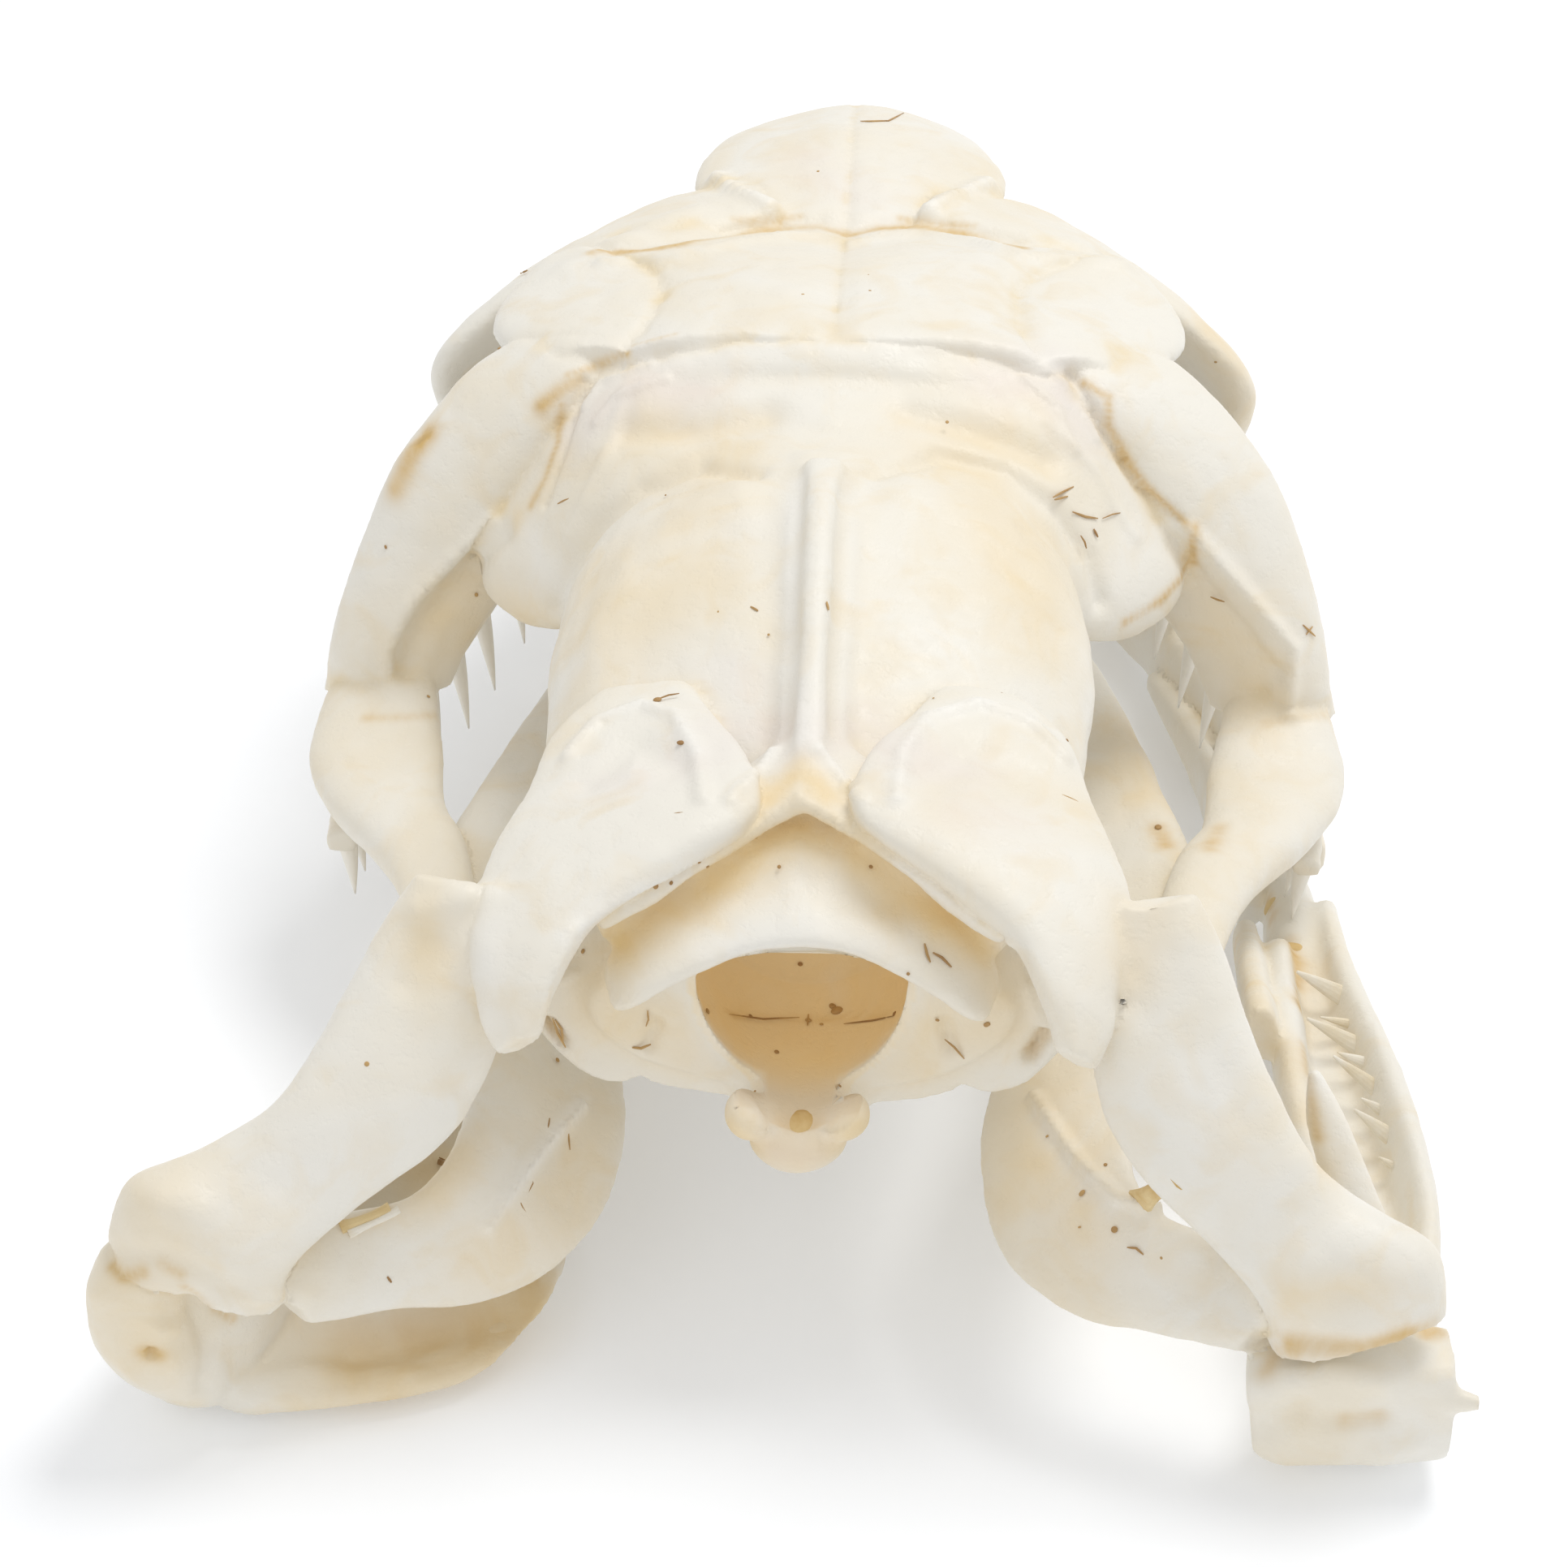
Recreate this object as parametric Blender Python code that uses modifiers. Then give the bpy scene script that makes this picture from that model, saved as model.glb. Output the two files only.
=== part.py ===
"""Python skull, life size: a cleaned ball python skull resting on its lower jaws.

Units in this file are millimetres; MM turns them into metres when a mesh is made.
X points to the skull's right, Y to the snout, Z up. The floor is Z = 0.
Every bone is one object. A bone is a union of swept bodies, and a swept body is a row of
stations, each the two edges of the bone's cross section and its thickness there.
Paired bones are modelled on the right side, and mirrored for the left.
"""

import math
import random

import bmesh
import bpy
from mathutils import Matrix, Vector

# Driving dimensions

MM = 0.001
GAP = 0.3                     # clearance between neighbouring bones
VOXEL = 0.22                  # grain at which the swept bodies of a bone are fused
SMOOTHING = 4                 # rounds of smoothing after fusing
RING_SIDES = 14               # sides of a swept body
SPAN_STEPS = 4                # steps between two stations

SUTURE_FRONTAL = 19.5         # Y of the seam between frontals and parietal
SUTURE_OCCIPITAL = 4.6        # Y of the seam in front of the occipital bones
SUTURE_ROOF = 10.9            # Z of the seam under the supraoccipital
SUTURE_FLOOR = 7.45           # Z of the seam over the basioccipital
SUTURE_BASE = 8.4             # Z of the seam over the parabasisphenoid
PROOTIC_FRONT = 9.4           # Y where the prootic ends
PROOTIC_TOP = 11.8            # Z where the prootic ends
PROOTIC_INNER = 3.6           # X of the prootic's inner face

QUADRATE_SPLAY_LEFT = 6.5     # degrees that the left quadrate leans further out
QUADRATE_HEAD = Vector((7.8, 0.6, 11.6))
PTERYGOID_BEND_FROM = 5.0     # Y behind which the left pterygoid follows that quadrate
PTERYGOID_BEND_LEFT = 0.012   # its outward bend for each square millimetre behind there

JAW_KNOB_HEIGHT = 1.9         # middle of the jaw's joint end above its lower edge
RIGHT_JAW_JOINT = Vector((12.6, -2.9, 1.85))
RIGHT_JAW_HINGE = Vector((12.0, 16.1, 1.8))
LEFT_JAW_JOINT = Vector((-13.65, -2.2, 2.35))
LEFT_JAW_HINGE = Vector((-5.8, 14.8, 1.3))

TOOTH_SIDES = 4
MAXILLA_TEETH = 16
PALATINE_TEETH = 6
PTERYGOID_TEETH = 8
DENTARY_TEETH = 14
PREMAXILLA_TEETH = 4

COLLECTION = "python_skull"
FAR = 60.0                    # beyond the skull on every side

IVORY = (0.83, 0.76, 0.62)
PALE = (0.87, 0.82, 0.71)
TAN = (0.80, 0.70, 0.52)


# Basic tools

def clear_scene():
    for item in list(bpy.data.objects):
        bpy.data.objects.remove(item, do_unlink=True)


def bone_material(name, colour):
    material = bpy.data.materials.new(name)
    material.use_nodes = True
    shader = material.node_tree.nodes["Principled BSDF"]
    shader.inputs["Base Color"].default_value = (*colour, 1.0)
    shader.inputs["Roughness"].default_value = 0.55
    shader.inputs["Metallic"].default_value = 0.0
    return material


def link_mesh(name, mesh):
    item = bpy.data.objects.new(name, mesh)
    bpy.context.scene.collection.objects.link(item)
    return item


def mesh_from(name, points, faces):
    mesh = bpy.data.meshes.new(name)
    mesh.from_pydata([Vector(p) * MM for p in points], [], faces)
    mesh.update()
    return mesh


def bake_modifiers(item):
    graph = bpy.context.evaluated_depsgraph_get()
    baked = bpy.data.meshes.new_from_object(item.evaluated_get(graph))
    old = item.data
    item.modifiers.clear()
    item.data = baked
    bpy.data.meshes.remove(old)


def discard(item):
    mesh = item.data
    bpy.data.objects.remove(item, do_unlink=True)
    bpy.data.meshes.remove(mesh)


def keep_largest(item):
    """Keep only the largest closed surface of a mesh."""
    work = bmesh.new()
    work.from_mesh(item.data)
    bmesh.ops.remove_doubles(work, verts=work.verts, dist=0.000002)
    seen = set()
    pieces = []
    for start in work.faces:
        if start in seen:
            continue
        piece = [start]
        seen.add(start)
        for face in piece:
            for edge in face.edges:
                for other in edge.link_faces:
                    if other not in seen:
                        seen.add(other)
                        piece.append(other)
        pieces.append(piece)
    pieces.sort(key=lambda piece: sum(face.calc_area() for face in piece))
    for piece in pieces[:-1]:
        bmesh.ops.delete(work, geom=piece, context="FACES")
    bmesh.ops.triangulate(work, faces=work.faces)
    work.to_mesh(item.data)
    work.free()


# Swept bodies

def spline_row(rows, index, t):
    """Point on the smooth curve through rows, between index and index + 1."""
    last = len(rows) - 1
    quad = [rows[min(max(index + k, 0), last)] for k in (-1, 0, 1, 2)]
    mixed = []
    for before, start, end, after in zip(*quad):
        lean_start = (end - before) / 2
        lean_end = (after - start) / 2
        mixed.append((2 * t ** 3 - 3 * t ** 2 + 1) * start + (t ** 3 - 2 * t ** 2 + t) * lean_start
                     + (3 * t ** 2 - 2 * t ** 3) * end + (t ** 3 - t ** 2) * lean_end)
    return mixed


def spline_rows(rows, steps):
    fine = []
    for index in range(len(rows) - 1):
        for step in range(steps):
            fine.append(spline_row(rows, index, step / steps))
    fine.append(list(rows[-1]))
    return fine


def sweep(stations, square=2.4, sides=RING_SIDES, steps=SPAN_STEPS):
    """Closed body through stations (ax, ay, az, bx, by, bz, thickness)."""
    rows = spline_rows(stations, steps)
    edges_a = [Vector(row[0:3]) for row in rows]
    edges_b = [Vector(row[3:6]) for row in rows]
    centres = [(a + b) / 2 for a, b in zip(edges_a, edges_b)]
    points = []
    last = len(rows) - 1
    for index, row in enumerate(rows):
        ahead = centres[min(index + 1, last)] - centres[max(index - 1, 0)]
        across = (edges_b[index] - edges_a[index]) / 2
        normal = ahead.cross(across).normalized() * row[6] / 2
        for side in range(sides):
            angle = 2 * math.pi * side / sides
            cosine = math.cos(angle)
            sine = math.sin(angle)
            along_width = math.copysign(abs(cosine) ** (2 / square), cosine)
            along_height = math.copysign(abs(sine) ** (2 / square), sine)
            points.append(centres[index] + across * along_width + normal * along_height)
    faces = []
    for index in range(last):
        for side in range(sides):
            after = (side + 1) % sides
            low = index * sides
            high = low + sides
            faces.append((low + side, low + after, high + after, high + side))
    faces.append(tuple(reversed(range(sides))))
    faces.append(tuple(last * sides + side for side in range(sides)))
    return points, faces


def ball(centre, radii, sides=12):
    """Ellipsoid as a swept body."""
    stations = []
    for step in range(sides + 1):
        angle = math.pi * (0.04 + 0.92 * step / sides)
        y = centre[1] - radii[1] * math.cos(angle)
        reach = radii[0] * math.sin(angle)
        height = 2 * radii[2] * math.sin(angle)
        stations.append((centre[0] - reach, y, centre[2], centre[0] + reach, y, centre[2], height))
    return sweep(stations, square=2.0, steps=1)


def vault(stations, sides=28):
    """Closed body along Y through sections (y, half width, top, widest height, bottom)."""
    rows = spline_rows(stations, SPAN_STEPS)
    points = []
    for y, half, top, middle, bottom in rows:
        for side in range(sides):
            angle = 2 * math.pi * side / sides
            sine = math.sin(angle)
            reach = top - middle if sine > 0 else middle - bottom
            points.append(Vector((half * math.cos(angle), y, middle + reach * sine)))
    faces = []
    for index in range(len(rows) - 1):
        for side in range(sides):
            after = (side + 1) % sides
            low = index * sides
            high = low + sides
            faces.append((low + side, high + side, high + after, low + after))
    last = (len(rows) - 1) * sides
    faces.append(tuple(range(sides)))
    faces.append(tuple(last + side for side in reversed(range(sides))))
    return points, faces


def mirrored(body):
    points, faces = body
    return [Vector((-p.x, p.y, p.z)) for p in points], [tuple(reversed(face)) for face in faces]


def join_bodies(name, bodies):
    points = []
    faces = []
    for body_points, body_faces in bodies:
        start = len(points)
        points.extend(body_points)
        faces.extend(tuple(start + corner for corner in face) for face in body_faces)
    item = link_mesh(name, mesh_from(name, points, faces))
    work = bmesh.new()
    work.from_mesh(item.data)
    bmesh.ops.recalc_face_normals(work, faces=work.faces)
    work.to_mesh(item.data)
    work.free()
    return item


def fuse(name, bodies, voxel=VOXEL, smoothing=SMOOTHING):
    """One skin round all the bodies of a bone."""
    item = join_bodies(name, bodies)
    remesh = item.modifiers.new("fuse", "REMESH")
    remesh.mode = "VOXEL"
    remesh.voxel_size = voxel * MM
    smooth = item.modifiers.new("smooth", "SMOOTH")
    smooth.factor = 0.5
    smooth.iterations = smoothing
    bake_modifiers(item)
    keep_largest(item)
    return item


def grown(item, distance):
    """A copy that stands a given distance proud of the bone, for cutting its neighbour."""
    copy = link_mesh(item.name + "_grown", item.data.copy())
    copy.matrix_world = item.matrix_world
    push = copy.modifiers.new("push", "DISPLACE")
    push.strength = distance * MM
    push.mid_level = 0.0
    again = copy.modifiers.new("again", "REMESH")
    again.mode = "VOXEL"
    again.voxel_size = VOXEL * MM
    bake_modifiers(copy)
    keep_largest(copy)
    return copy


def boolean(item, other, operation, solver="EXACT"):
    step = item.modifiers.new("boolean", "BOOLEAN")
    step.operation = operation
    step.solver = solver
    step.object = other
    bake_modifiers(item)


def cut_clear(item, neighbours, distance=GAP + 0.05):
    for neighbour in neighbours:
        cutter = grown(neighbour, distance)
        boolean(item, cutter, "DIFFERENCE", "MANIFOLD")
        discard(cutter)
        keep_largest(item)


def thin_out(item, triangles):
    """Bring a bone down to about the given number of triangles."""
    work = len(item.data.polygons)
    reduce = item.modifiers.new("reduce", "DECIMATE")
    reduce.ratio = min(1.0, triangles / work)
    bake_modifiers(item)
    keep_largest(item)


def box_body(low, high):
    points = []
    for x in (low[0], high[0]):
        for y in (low[1], high[1]):
            for z in (low[2], high[2]):
                points.append(Vector((x, y, z)))
    faces = [(0, 1, 3, 2), (4, 6, 7, 5), (0, 4, 5, 1), (2, 3, 7, 6), (0, 2, 6, 4), (1, 5, 7, 3)]
    return points, faces


def within(source, name, low, high):
    """The part of a bone block inside a box."""
    item = link_mesh(name, source.data.copy())
    region = join_bodies(name + "_region", [box_body(low, high)])
    boolean(item, region, "INTERSECT")
    discard(region)
    keep_largest(item)
    return item


def without(item, low, high):
    region = join_bodies(item.name + "_region", [box_body(low, high)])
    boolean(item, region, "DIFFERENCE")
    discard(region)
    keep_largest(item)


# Teeth

def tooth(root, lean, length, width, sunk=0.5):
    """A tapered, back-curved tooth; root is a point on the bone, lean its direction."""
    lean = lean.normalized()
    side = lean.cross(Vector((0, 1, 0))).normalized()
    front = side.cross(lean).normalized()
    curl = Vector((0, -1, 0))
    rings = ((-sunk, 1.0, 0.0), (0.45 * length, 0.78, 0.05 * length))
    points = []
    for reach, taper, bend in rings:
        centre = root + lean * reach + curl * bend
        for corner in range(TOOTH_SIDES):
            angle = 2 * math.pi * (corner + 0.5) / TOOTH_SIDES
            spread = side * math.cos(angle) + front * math.sin(angle)
            points.append(centre + spread * width * taper / 2)
    points.append(root + lean * length + curl * 0.28 * length)
    tip = len(points) - 1
    faces = [tuple(reversed(range(TOOTH_SIDES)))]
    for corner in range(TOOTH_SIDES):
        after = (corner + 1) % TOOTH_SIDES
        faces.append((corner, after, TOOTH_SIDES + after, TOOTH_SIDES + corner))
        faces.append((TOOTH_SIDES + corner, TOOTH_SIDES + after, tip))
    return points, faces


def tooth_row(stations, count, edge, lengths, lean, seed, width=0.78):
    """Teeth along one edge of a swept body, from its first station to its last."""
    draw = random.Random(seed)
    rows = spline_rows(stations, 12)
    offset = 0 if edge == "a" else 3
    teeth = []
    for index in range(count):
        share = (index + 0.5) / count
        row = rows[round(share * (len(rows) - 1))]
        root = Vector(row[offset:offset + 3])
        length = lengths[0] + (lengths[1] - lengths[0]) * share
        length *= draw.uniform(0.86, 1.1)
        tilt = Vector((draw.uniform(-0.06, 0.06), draw.uniform(-0.06, 0.06), 0))
        teeth.append(tooth(root, Vector(lean) + tilt, length, width))
    return teeth


def add_teeth(item, teeth):
    """Fuse the teeth into their bone with one union."""
    group = bpy.data.collections.new("teeth")
    bpy.context.scene.collection.children.link(group)
    made = []
    for number, body in enumerate(teeth):
        piece = join_bodies("tooth_" + str(number), [body])
        bpy.context.scene.collection.objects.unlink(piece)
        group.objects.link(piece)
        made.append(piece)
    union = item.modifiers.new("teeth", "BOOLEAN")
    union.operation = "UNION"
    union.operand_type = "COLLECTION"
    union.solver = "EXACT"
    union.collection = group
    bake_modifiers(item)
    for piece in made:
        discard(piece)
    bpy.data.collections.remove(group)
    keep_largest(item)


# Braincase

BRAIN_ROOM = (
    (-2.0, 2.3, 10.8, 10.1, 7.2),
    (0.8, 2.3, 10.8, 10.1, 7.15),
    (2.4, 2.6, 11.0, 10.0, 7.2),
    (3.3, 2.5, 10.9, 9.9, 7.3),
    (3.9, 2.1, 10.4, 9.6, 7.7),
)


def braincase_block():
    shell = vault((
        (0.9, 4.7, 10.9, 9.2, 6.9),
        (2.2, 5.4, 11.6, 9.5, 6.5),
        (4.2, 5.8, 12.5, 10.0, 6.2),
        (7.0, 6.1, 13.6, 10.6, 6.2),
        (10.5, 6.4, 14.6, 11.0, 6.6),
        (13.2, 6.2, 15.1, 11.4, 7.1),
        (15.6, 5.5, 15.0, 11.6, 7.5),
        (17.4, 5.0, 14.95, 12.0, 7.9),
        (19.9, 4.4, 15.2, 12.6, 9.0),
    ))
    crest_foot = sweep((
        (-1.0, 3.9, 12.9, 1.0, 3.9, 12.9, 0.8),
        (-0.9, 5.2, 13.1, 0.9, 5.2, 13.1, 0.8),
        (-0.9, 8.6, 14.0, 0.9, 8.6, 14.0, 0.8),
        (-0.9, 12.0, 14.85, 0.9, 12.0, 14.85, 0.7),
        (-0.9, 14.8, 14.95, 0.9, 14.8, 14.95, 0.5),
    ))
    crest = sweep((
        (-0.44, 3.4, 13.15, 0.44, 3.4, 13.15, 0.9),
        (-0.40, 4.6, 13.45, 0.40, 4.6, 13.45, 1.0),
        (-0.36, 8.6, 14.45, 0.36, 8.6, 14.45, 1.3),
        (-0.38, 11.8, 15.25, 0.38, 11.8, 15.25, 1.0),
        (-0.5, 13.9, 15.2, 0.5, 13.9, 15.2, 0.7),
    ), square=3.0)
    ridge = sweep((
        (-5.4, 19.4, 14.4, -4.6, 17.4, 13.9, 0.9),
        (-4.2, 19.5, 14.95, -3.8, 17.8, 14.6, 0.9),
        (-2.2, 19.5, 15.25, -2.0, 17.9, 15.05, 0.9),
        (0.0, 19.5, 15.35, 0.0, 17.9, 15.15, 0.9),
        (2.2, 19.5, 15.25, 2.0, 17.9, 15.05, 0.9),
        (4.2, 19.5, 14.95, 3.8, 17.8, 14.6, 0.9),
        (5.4, 19.4, 14.4, 4.6, 17.4, 13.9, 0.9),
    ))
    wing = sweep((
        (0.0, 19.4, 14.9, 0.0, 15.6, 14.6, 1.0),
        (3.0, 19.5, 14.9, 2.6, 15.4, 14.0, 1.2),
        (5.2, 19.5, 14.6, 4.4, 14.8, 13.0, 1.4),
        (6.6, 19.0, 13.3, 5.0, 14.2, 11.9, 1.4),
        (7.9, 18.4, 11.6, 5.6, 14.2, 10.8, 1.3),
        (8.7, 17.8, 10.4, 6.2, 14.8, 9.9, 1.2),
        (8.5, 17.3, 9.5, 7.0, 15.8, 9.3, 0.9),
    ))
    arm = sweep((
        (0.0, 6.2, 13.5, 0.0, 2.7, 13.5, 0.6),
        (1.5, 5.0, 12.9, 1.2, 2.3, 13.0, 0.6),
        (3.2, 3.4, 12.4, 2.9, 1.2, 12.2, 0.6),
        (4.6, 2.2, 11.9, 4.4, 0.4, 11.7, 0.6),
    ))
    web = sweep((
        (0.0, 6.0, 12.7, 0.0, 3.3, 12.7, 1.0),
        (1.5, 5.0, 12.3, 1.4, 2.9, 12.4, 1.0),
        (3.1, 3.6, 11.8, 3.0, 1.9, 11.7, 1.0),
        (4.6, 2.4, 11.2, 4.5, 1.1, 11.1, 1.0),
    ))
    apron = sweep((
        (-0.4, 0.5, 11.35, -0.4, 3.4, 12.7, 0.6),
        (1.0, 0.45, 11.2, 1.0, 3.1, 12.5, 0.6),
        (2.0, 0.2, 10.9, 2.1, 2.6, 12.0, 0.6),
        (3.0, 0.0, 10.45, 3.3, 2.0, 11.4, 0.6),
        (3.75, -0.1, 9.95, 4.1, 1.4, 10.6, 0.5),
        (4.0, 0.1, 9.7, 4.3, 1.0, 10.0, 0.4),
    ), square=3.4)
    flank = sweep((
        (5.6, 1.3, 9.6, 3.6, 1.2, 7.0, 2.2),
        (5.9, 3.0, 9.4, 3.4, 3.0, 6.8, 2.6),
        (5.5, 5.6, 9.2, 3.0, 5.6, 7.0, 2.0),
    ))
    base = sweep((
        (-3.6, 1.2, 7.1, 3.6, 1.2, 7.1, 1.4),
        (-3.4, 3.5, 6.8, 3.4, 3.5, 6.8, 1.6),
        (-2.8, 7.0, 6.6, 2.8, 7.0, 6.6, 1.4),
        (-2.4, 10.0, 6.8, 2.4, 10.0, 6.8, 1.4),
        (-1.2, 14.0, 7.4, 1.2, 14.0, 7.4, 1.4),
        (-0.6, 20.0, 8.6, 0.6, 20.0, 8.6, 1.2),
        (-0.45, 26.5, 9.4, 0.45, 26.5, 9.4, 0.9),
    ))
    neck = sweep((
        (-1.1, 0.1, 6.7, 1.1, 0.1, 6.7, 1.5),
        (-1.8, 1.6, 6.7, 1.8, 1.6, 6.7, 1.7),
        (-2.4, 3.0, 6.9, 2.4, 3.0, 6.9, 1.6),
    ))
    condyle = ball((0.0, -0.15, 6.6), (1.12, 0.95, 0.84))
    lobe = ball((1.0, -0.45, 7.42), (0.6, 0.62, 0.58))
    bodies = [shell, crest_foot, crest, ridge, base, neck, condyle]
    for half in (wing, arm, web, apron, flank, lobe):
        bodies.append(half)
        bodies.append(mirrored(half))
    block = fuse("braincase", bodies)
    brain_room = join_bodies("brain_room", [vault(BRAIN_ROOM, sides=20)])
    boolean(block, brain_room, "DIFFERENCE")
    discard(brain_room)
    keep_largest(block)
    return block


def braincase_bones(block):
    """Part the block along its seams with thin cuts."""
    half = GAP / 2
    rear = SUTURE_OCCIPITAL - half
    bones = []

    def take(name, low, high, triangles, colour):
        item = within(block, name, low, high)
        bones.append((item, triangles, colour))
        return item

    take("supraoccipital", (-FAR, -FAR, SUTURE_ROOF + half), (FAR, rear, FAR), 420, TAN)
    take("basioccipital", (-FAR, -FAR, -FAR), (FAR, rear, SUTURE_FLOOR - half), 420, TAN)
    take("exoccipital_right", (half, -FAR, SUTURE_FLOOR + half), (FAR, rear, SUTURE_ROOF - half), 260, TAN)
    take("exoccipital_left", (-FAR, -FAR, SUTURE_FLOOR + half), (-half, rear, SUTURE_ROOF - half), 260, TAN)
    front = SUTURE_OCCIPITAL + half
    take("parabasisphenoid", (-FAR, front, -FAR), (FAR, FAR, SUTURE_BASE - half), 420, TAN)
    prootic_low = (PROOTIC_INNER + half, front, SUTURE_BASE + half)
    prootic_high = (FAR, PROOTIC_FRONT - half, PROOTIC_TOP - half)
    take("prootic_right", prootic_low, prootic_high, 200, TAN)
    mirror_low = (-prootic_high[0], prootic_low[1], prootic_low[2])
    mirror_high = (-prootic_low[0], prootic_high[1], prootic_high[2])
    take("prootic_left", mirror_low, mirror_high, 200, TAN)
    parietal_low = (-FAR, front, SUTURE_BASE + half)
    parietal = take("parietal", parietal_low, (FAR, SUTURE_FRONTAL - half, FAR), 900, IVORY)
    for side in (-1, 1):
        x_values = sorted((side * (PROOTIC_INNER - half), side * FAR))
        without(parietal, (x_values[0], front - 1, SUTURE_BASE - 1),
                (x_values[1], PROOTIC_FRONT + half, PROOTIC_TOP + half))
    return bones


# Bones of the right side

SUPRATEMPORAL = (
    (4.9, 7.5, 13.0, 2.8, 7.5, 13.5, 0.7),
    (5.9, 6.3, 12.7, 2.1, 6.1, 13.5, 1.0),
    (6.4, 4.4, 12.4, 1.2, 4.2, 13.7, 1.0),
    (6.9, 2.8, 12.2, 1.1, 2.4, 13.6, 1.1),
    (7.2, 1.4, 11.8, 2.7, 1.1, 13.1, 1.1),
    (7.2, 0.2, 11.2, 4.4, 0.0, 12.4, 1.1),
    (6.9, -0.7, 10.4, 5.2, -1.1, 11.6, 1.0),
    (6.4, -1.4, 9.6, 5.7, -1.8, 10.5, 0.8),
)

QUADRATE = (
    (8.6, 1.5, 12.3, 6.9, 1.2, 12.2, 0.9),
    (9.3, 0.7, 11.1, 6.3, 0.2, 10.6, 1.3),
    (10.2, -0.8, 9.4, 6.5, -0.7, 8.8, 1.4),
    (11.1, -1.9, 8.0, 7.2, -1.4, 7.3, 1.5),
    (12.4, -2.4, 7.0, 8.9, -2.2, 5.8, 1.8),
    (14.0, -3.0, 6.3, 10.2, -3.1, 4.7, 2.3),
    (14.4, -3.1, 4.7, 10.5, -3.4, 3.6, 2.2),
)

PTERYGOID = (
    (5.4, 24.0, 5.0, 4.2, 23.8, 4.9, 0.9),
    (6.9, 20.6, 5.0, 5.2, 20.0, 4.7, 1.1),
    (8.3, 15.6, 5.2, 6.0, 14.8, 4.6, 1.1),
    (9.2, 11.4, 5.3, 5.6, 11.0, 4.4, 1.0),
    (8.6, 7.5, 5.6, 4.7, 6.5, 4.1, 0.9),
    (7.6, 3.8, 6.1, 4.1, 3.2, 4.0, 0.9),
    (7.45, 1.4, 5.9, 4.2, 0.9, 3.5, 0.8),
    (7.6, -0.3, 5.6, 4.9, -0.7, 3.1, 0.8),
    (8.4, -1.15, 5.2, 6.4, -1.9, 2.9, 0.9),
    (10.0, -1.6, 5.1, 8.0, -2.5, 3.1, 1.0),
    (11.6, -2.75, 4.9, 9.9, -3.4, 3.4, 1.2),
)

ECTOPTERYGOID = (
    (12.6, 16.9, 6.5, 9.9, 17.2, 6.6, 1.2),
    (12.95, 15.0, 5.6, 9.5, 14.9, 6.0, 1.3),
    (12.2, 13.0, 5.5, 9.3, 12.9, 5.8, 1.3),
    (10.9, 11.1, 5.5, 8.7, 11.5, 5.9, 1.3),
    (10.1, 9.4, 5.7, 8.3, 9.9, 5.9, 1.2),
    (9.6, 7.6, 5.8, 7.9, 7.9, 5.8, 0.9),
)

POSTORBITAL = (
    (8.3, 21.2, 13.9, 5.6, 19.8, 15.0, 0.9),
    (9.6, 20.4, 13.1, 6.1, 18.6, 14.3, 1.1),
    (11.0, 19.3, 11.6, 7.4, 18.0, 12.5, 1.3),
    (12.0, 18.2, 9.4, 9.0, 17.4, 10.3, 1.3),
    (12.5, 17.5, 7.4, 10.8, 16.7, 7.8, 1.3),
    (12.8, 17.2, 6.2, 10.6, 17.0, 6.4, 1.1),
)

POSTORBITAL_FLANGE = (
    (9.0, 18.4, 11.8, 7.9, 18.9, 11.3, 0.8),
    (10.2, 17.5, 9.6, 7.9, 18.3, 9.3, 0.9),
    (11.2, 16.9, 8.0, 9.0, 18.0, 7.6, 1.0),
    (11.0, 17.1, 6.4, 9.6, 17.6, 6.2, 0.9),
)

PREFRONTAL = (
    (1.6, 26.9, 14.3, 2.4, 29.0, 14.2, 0.9),
    (4.0, 26.1, 14.4, 4.9, 30.0, 13.0, 1.1),
    (6.7, 25.4, 14.1, 7.0, 29.8, 11.6, 1.2),
    (8.9, 24.6, 13.0, 8.6, 28.8, 10.2, 1.2),
    (10.4, 24.2, 11.5, 9.4, 27.6, 9.0, 1.1),
    (10.1, 24.7, 9.4, 9.2, 26.8, 7.9, 0.9),
)

FRONTAL_ROOF = (
    (5.2, 18.8, 15.1, -0.4, 18.8, 15.4, 1.4),
    (4.6, 21.6, 14.9, -0.4, 21.8, 15.2, 1.4),
    (5.0, 23.6, 14.7, -0.4, 24.0, 14.7, 1.3),
    (6.6, 25.2, 14.3, -0.4, 25.6, 14.1, 1.2),
    (6.2, 26.2, 14.1, -0.4, 26.8, 13.8, 1.0),
)

FRONTAL_WALL = (
    (3.9, 18.8, 12.8, -0.6, 18.8, 12.4, 4.6),
    (3.6, 22.5, 12.8, -0.6, 22.5, 12.6, 3.6),
    (3.4, 26.0, 12.6, -0.6, 26.0, 12.4, 2.8),
)

SUPRAORBITAL = (
    (7.8, 25.2, 13.9, 6.2, 25.4, 14.3, 0.9),
    (8.7, 23.2, 13.7, 4.4, 22.8, 14.9, 1.0),
    (8.4, 21.4, 13.9, 4.4, 20.6, 15.2, 1.0),
    (6.7, 19.5, 14.6, 5.0, 18.9, 15.1, 0.9),
)

NASAL = (
    (2.8, 26.8, 14.0, -0.4, 26.2, 14.0, 0.9),
    (4.0, 29.6, 13.7, -0.4, 29.2, 14.4, 1.1),
    (4.0, 32.0, 13.2, -0.4, 32.2, 14.2, 1.1),
    (3.4, 34.3, 12.6, -0.4, 34.6, 13.6, 1.0),
    (2.3, 36.0, 11.9, -0.4, 36.4, 12.5, 0.9),
)

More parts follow.
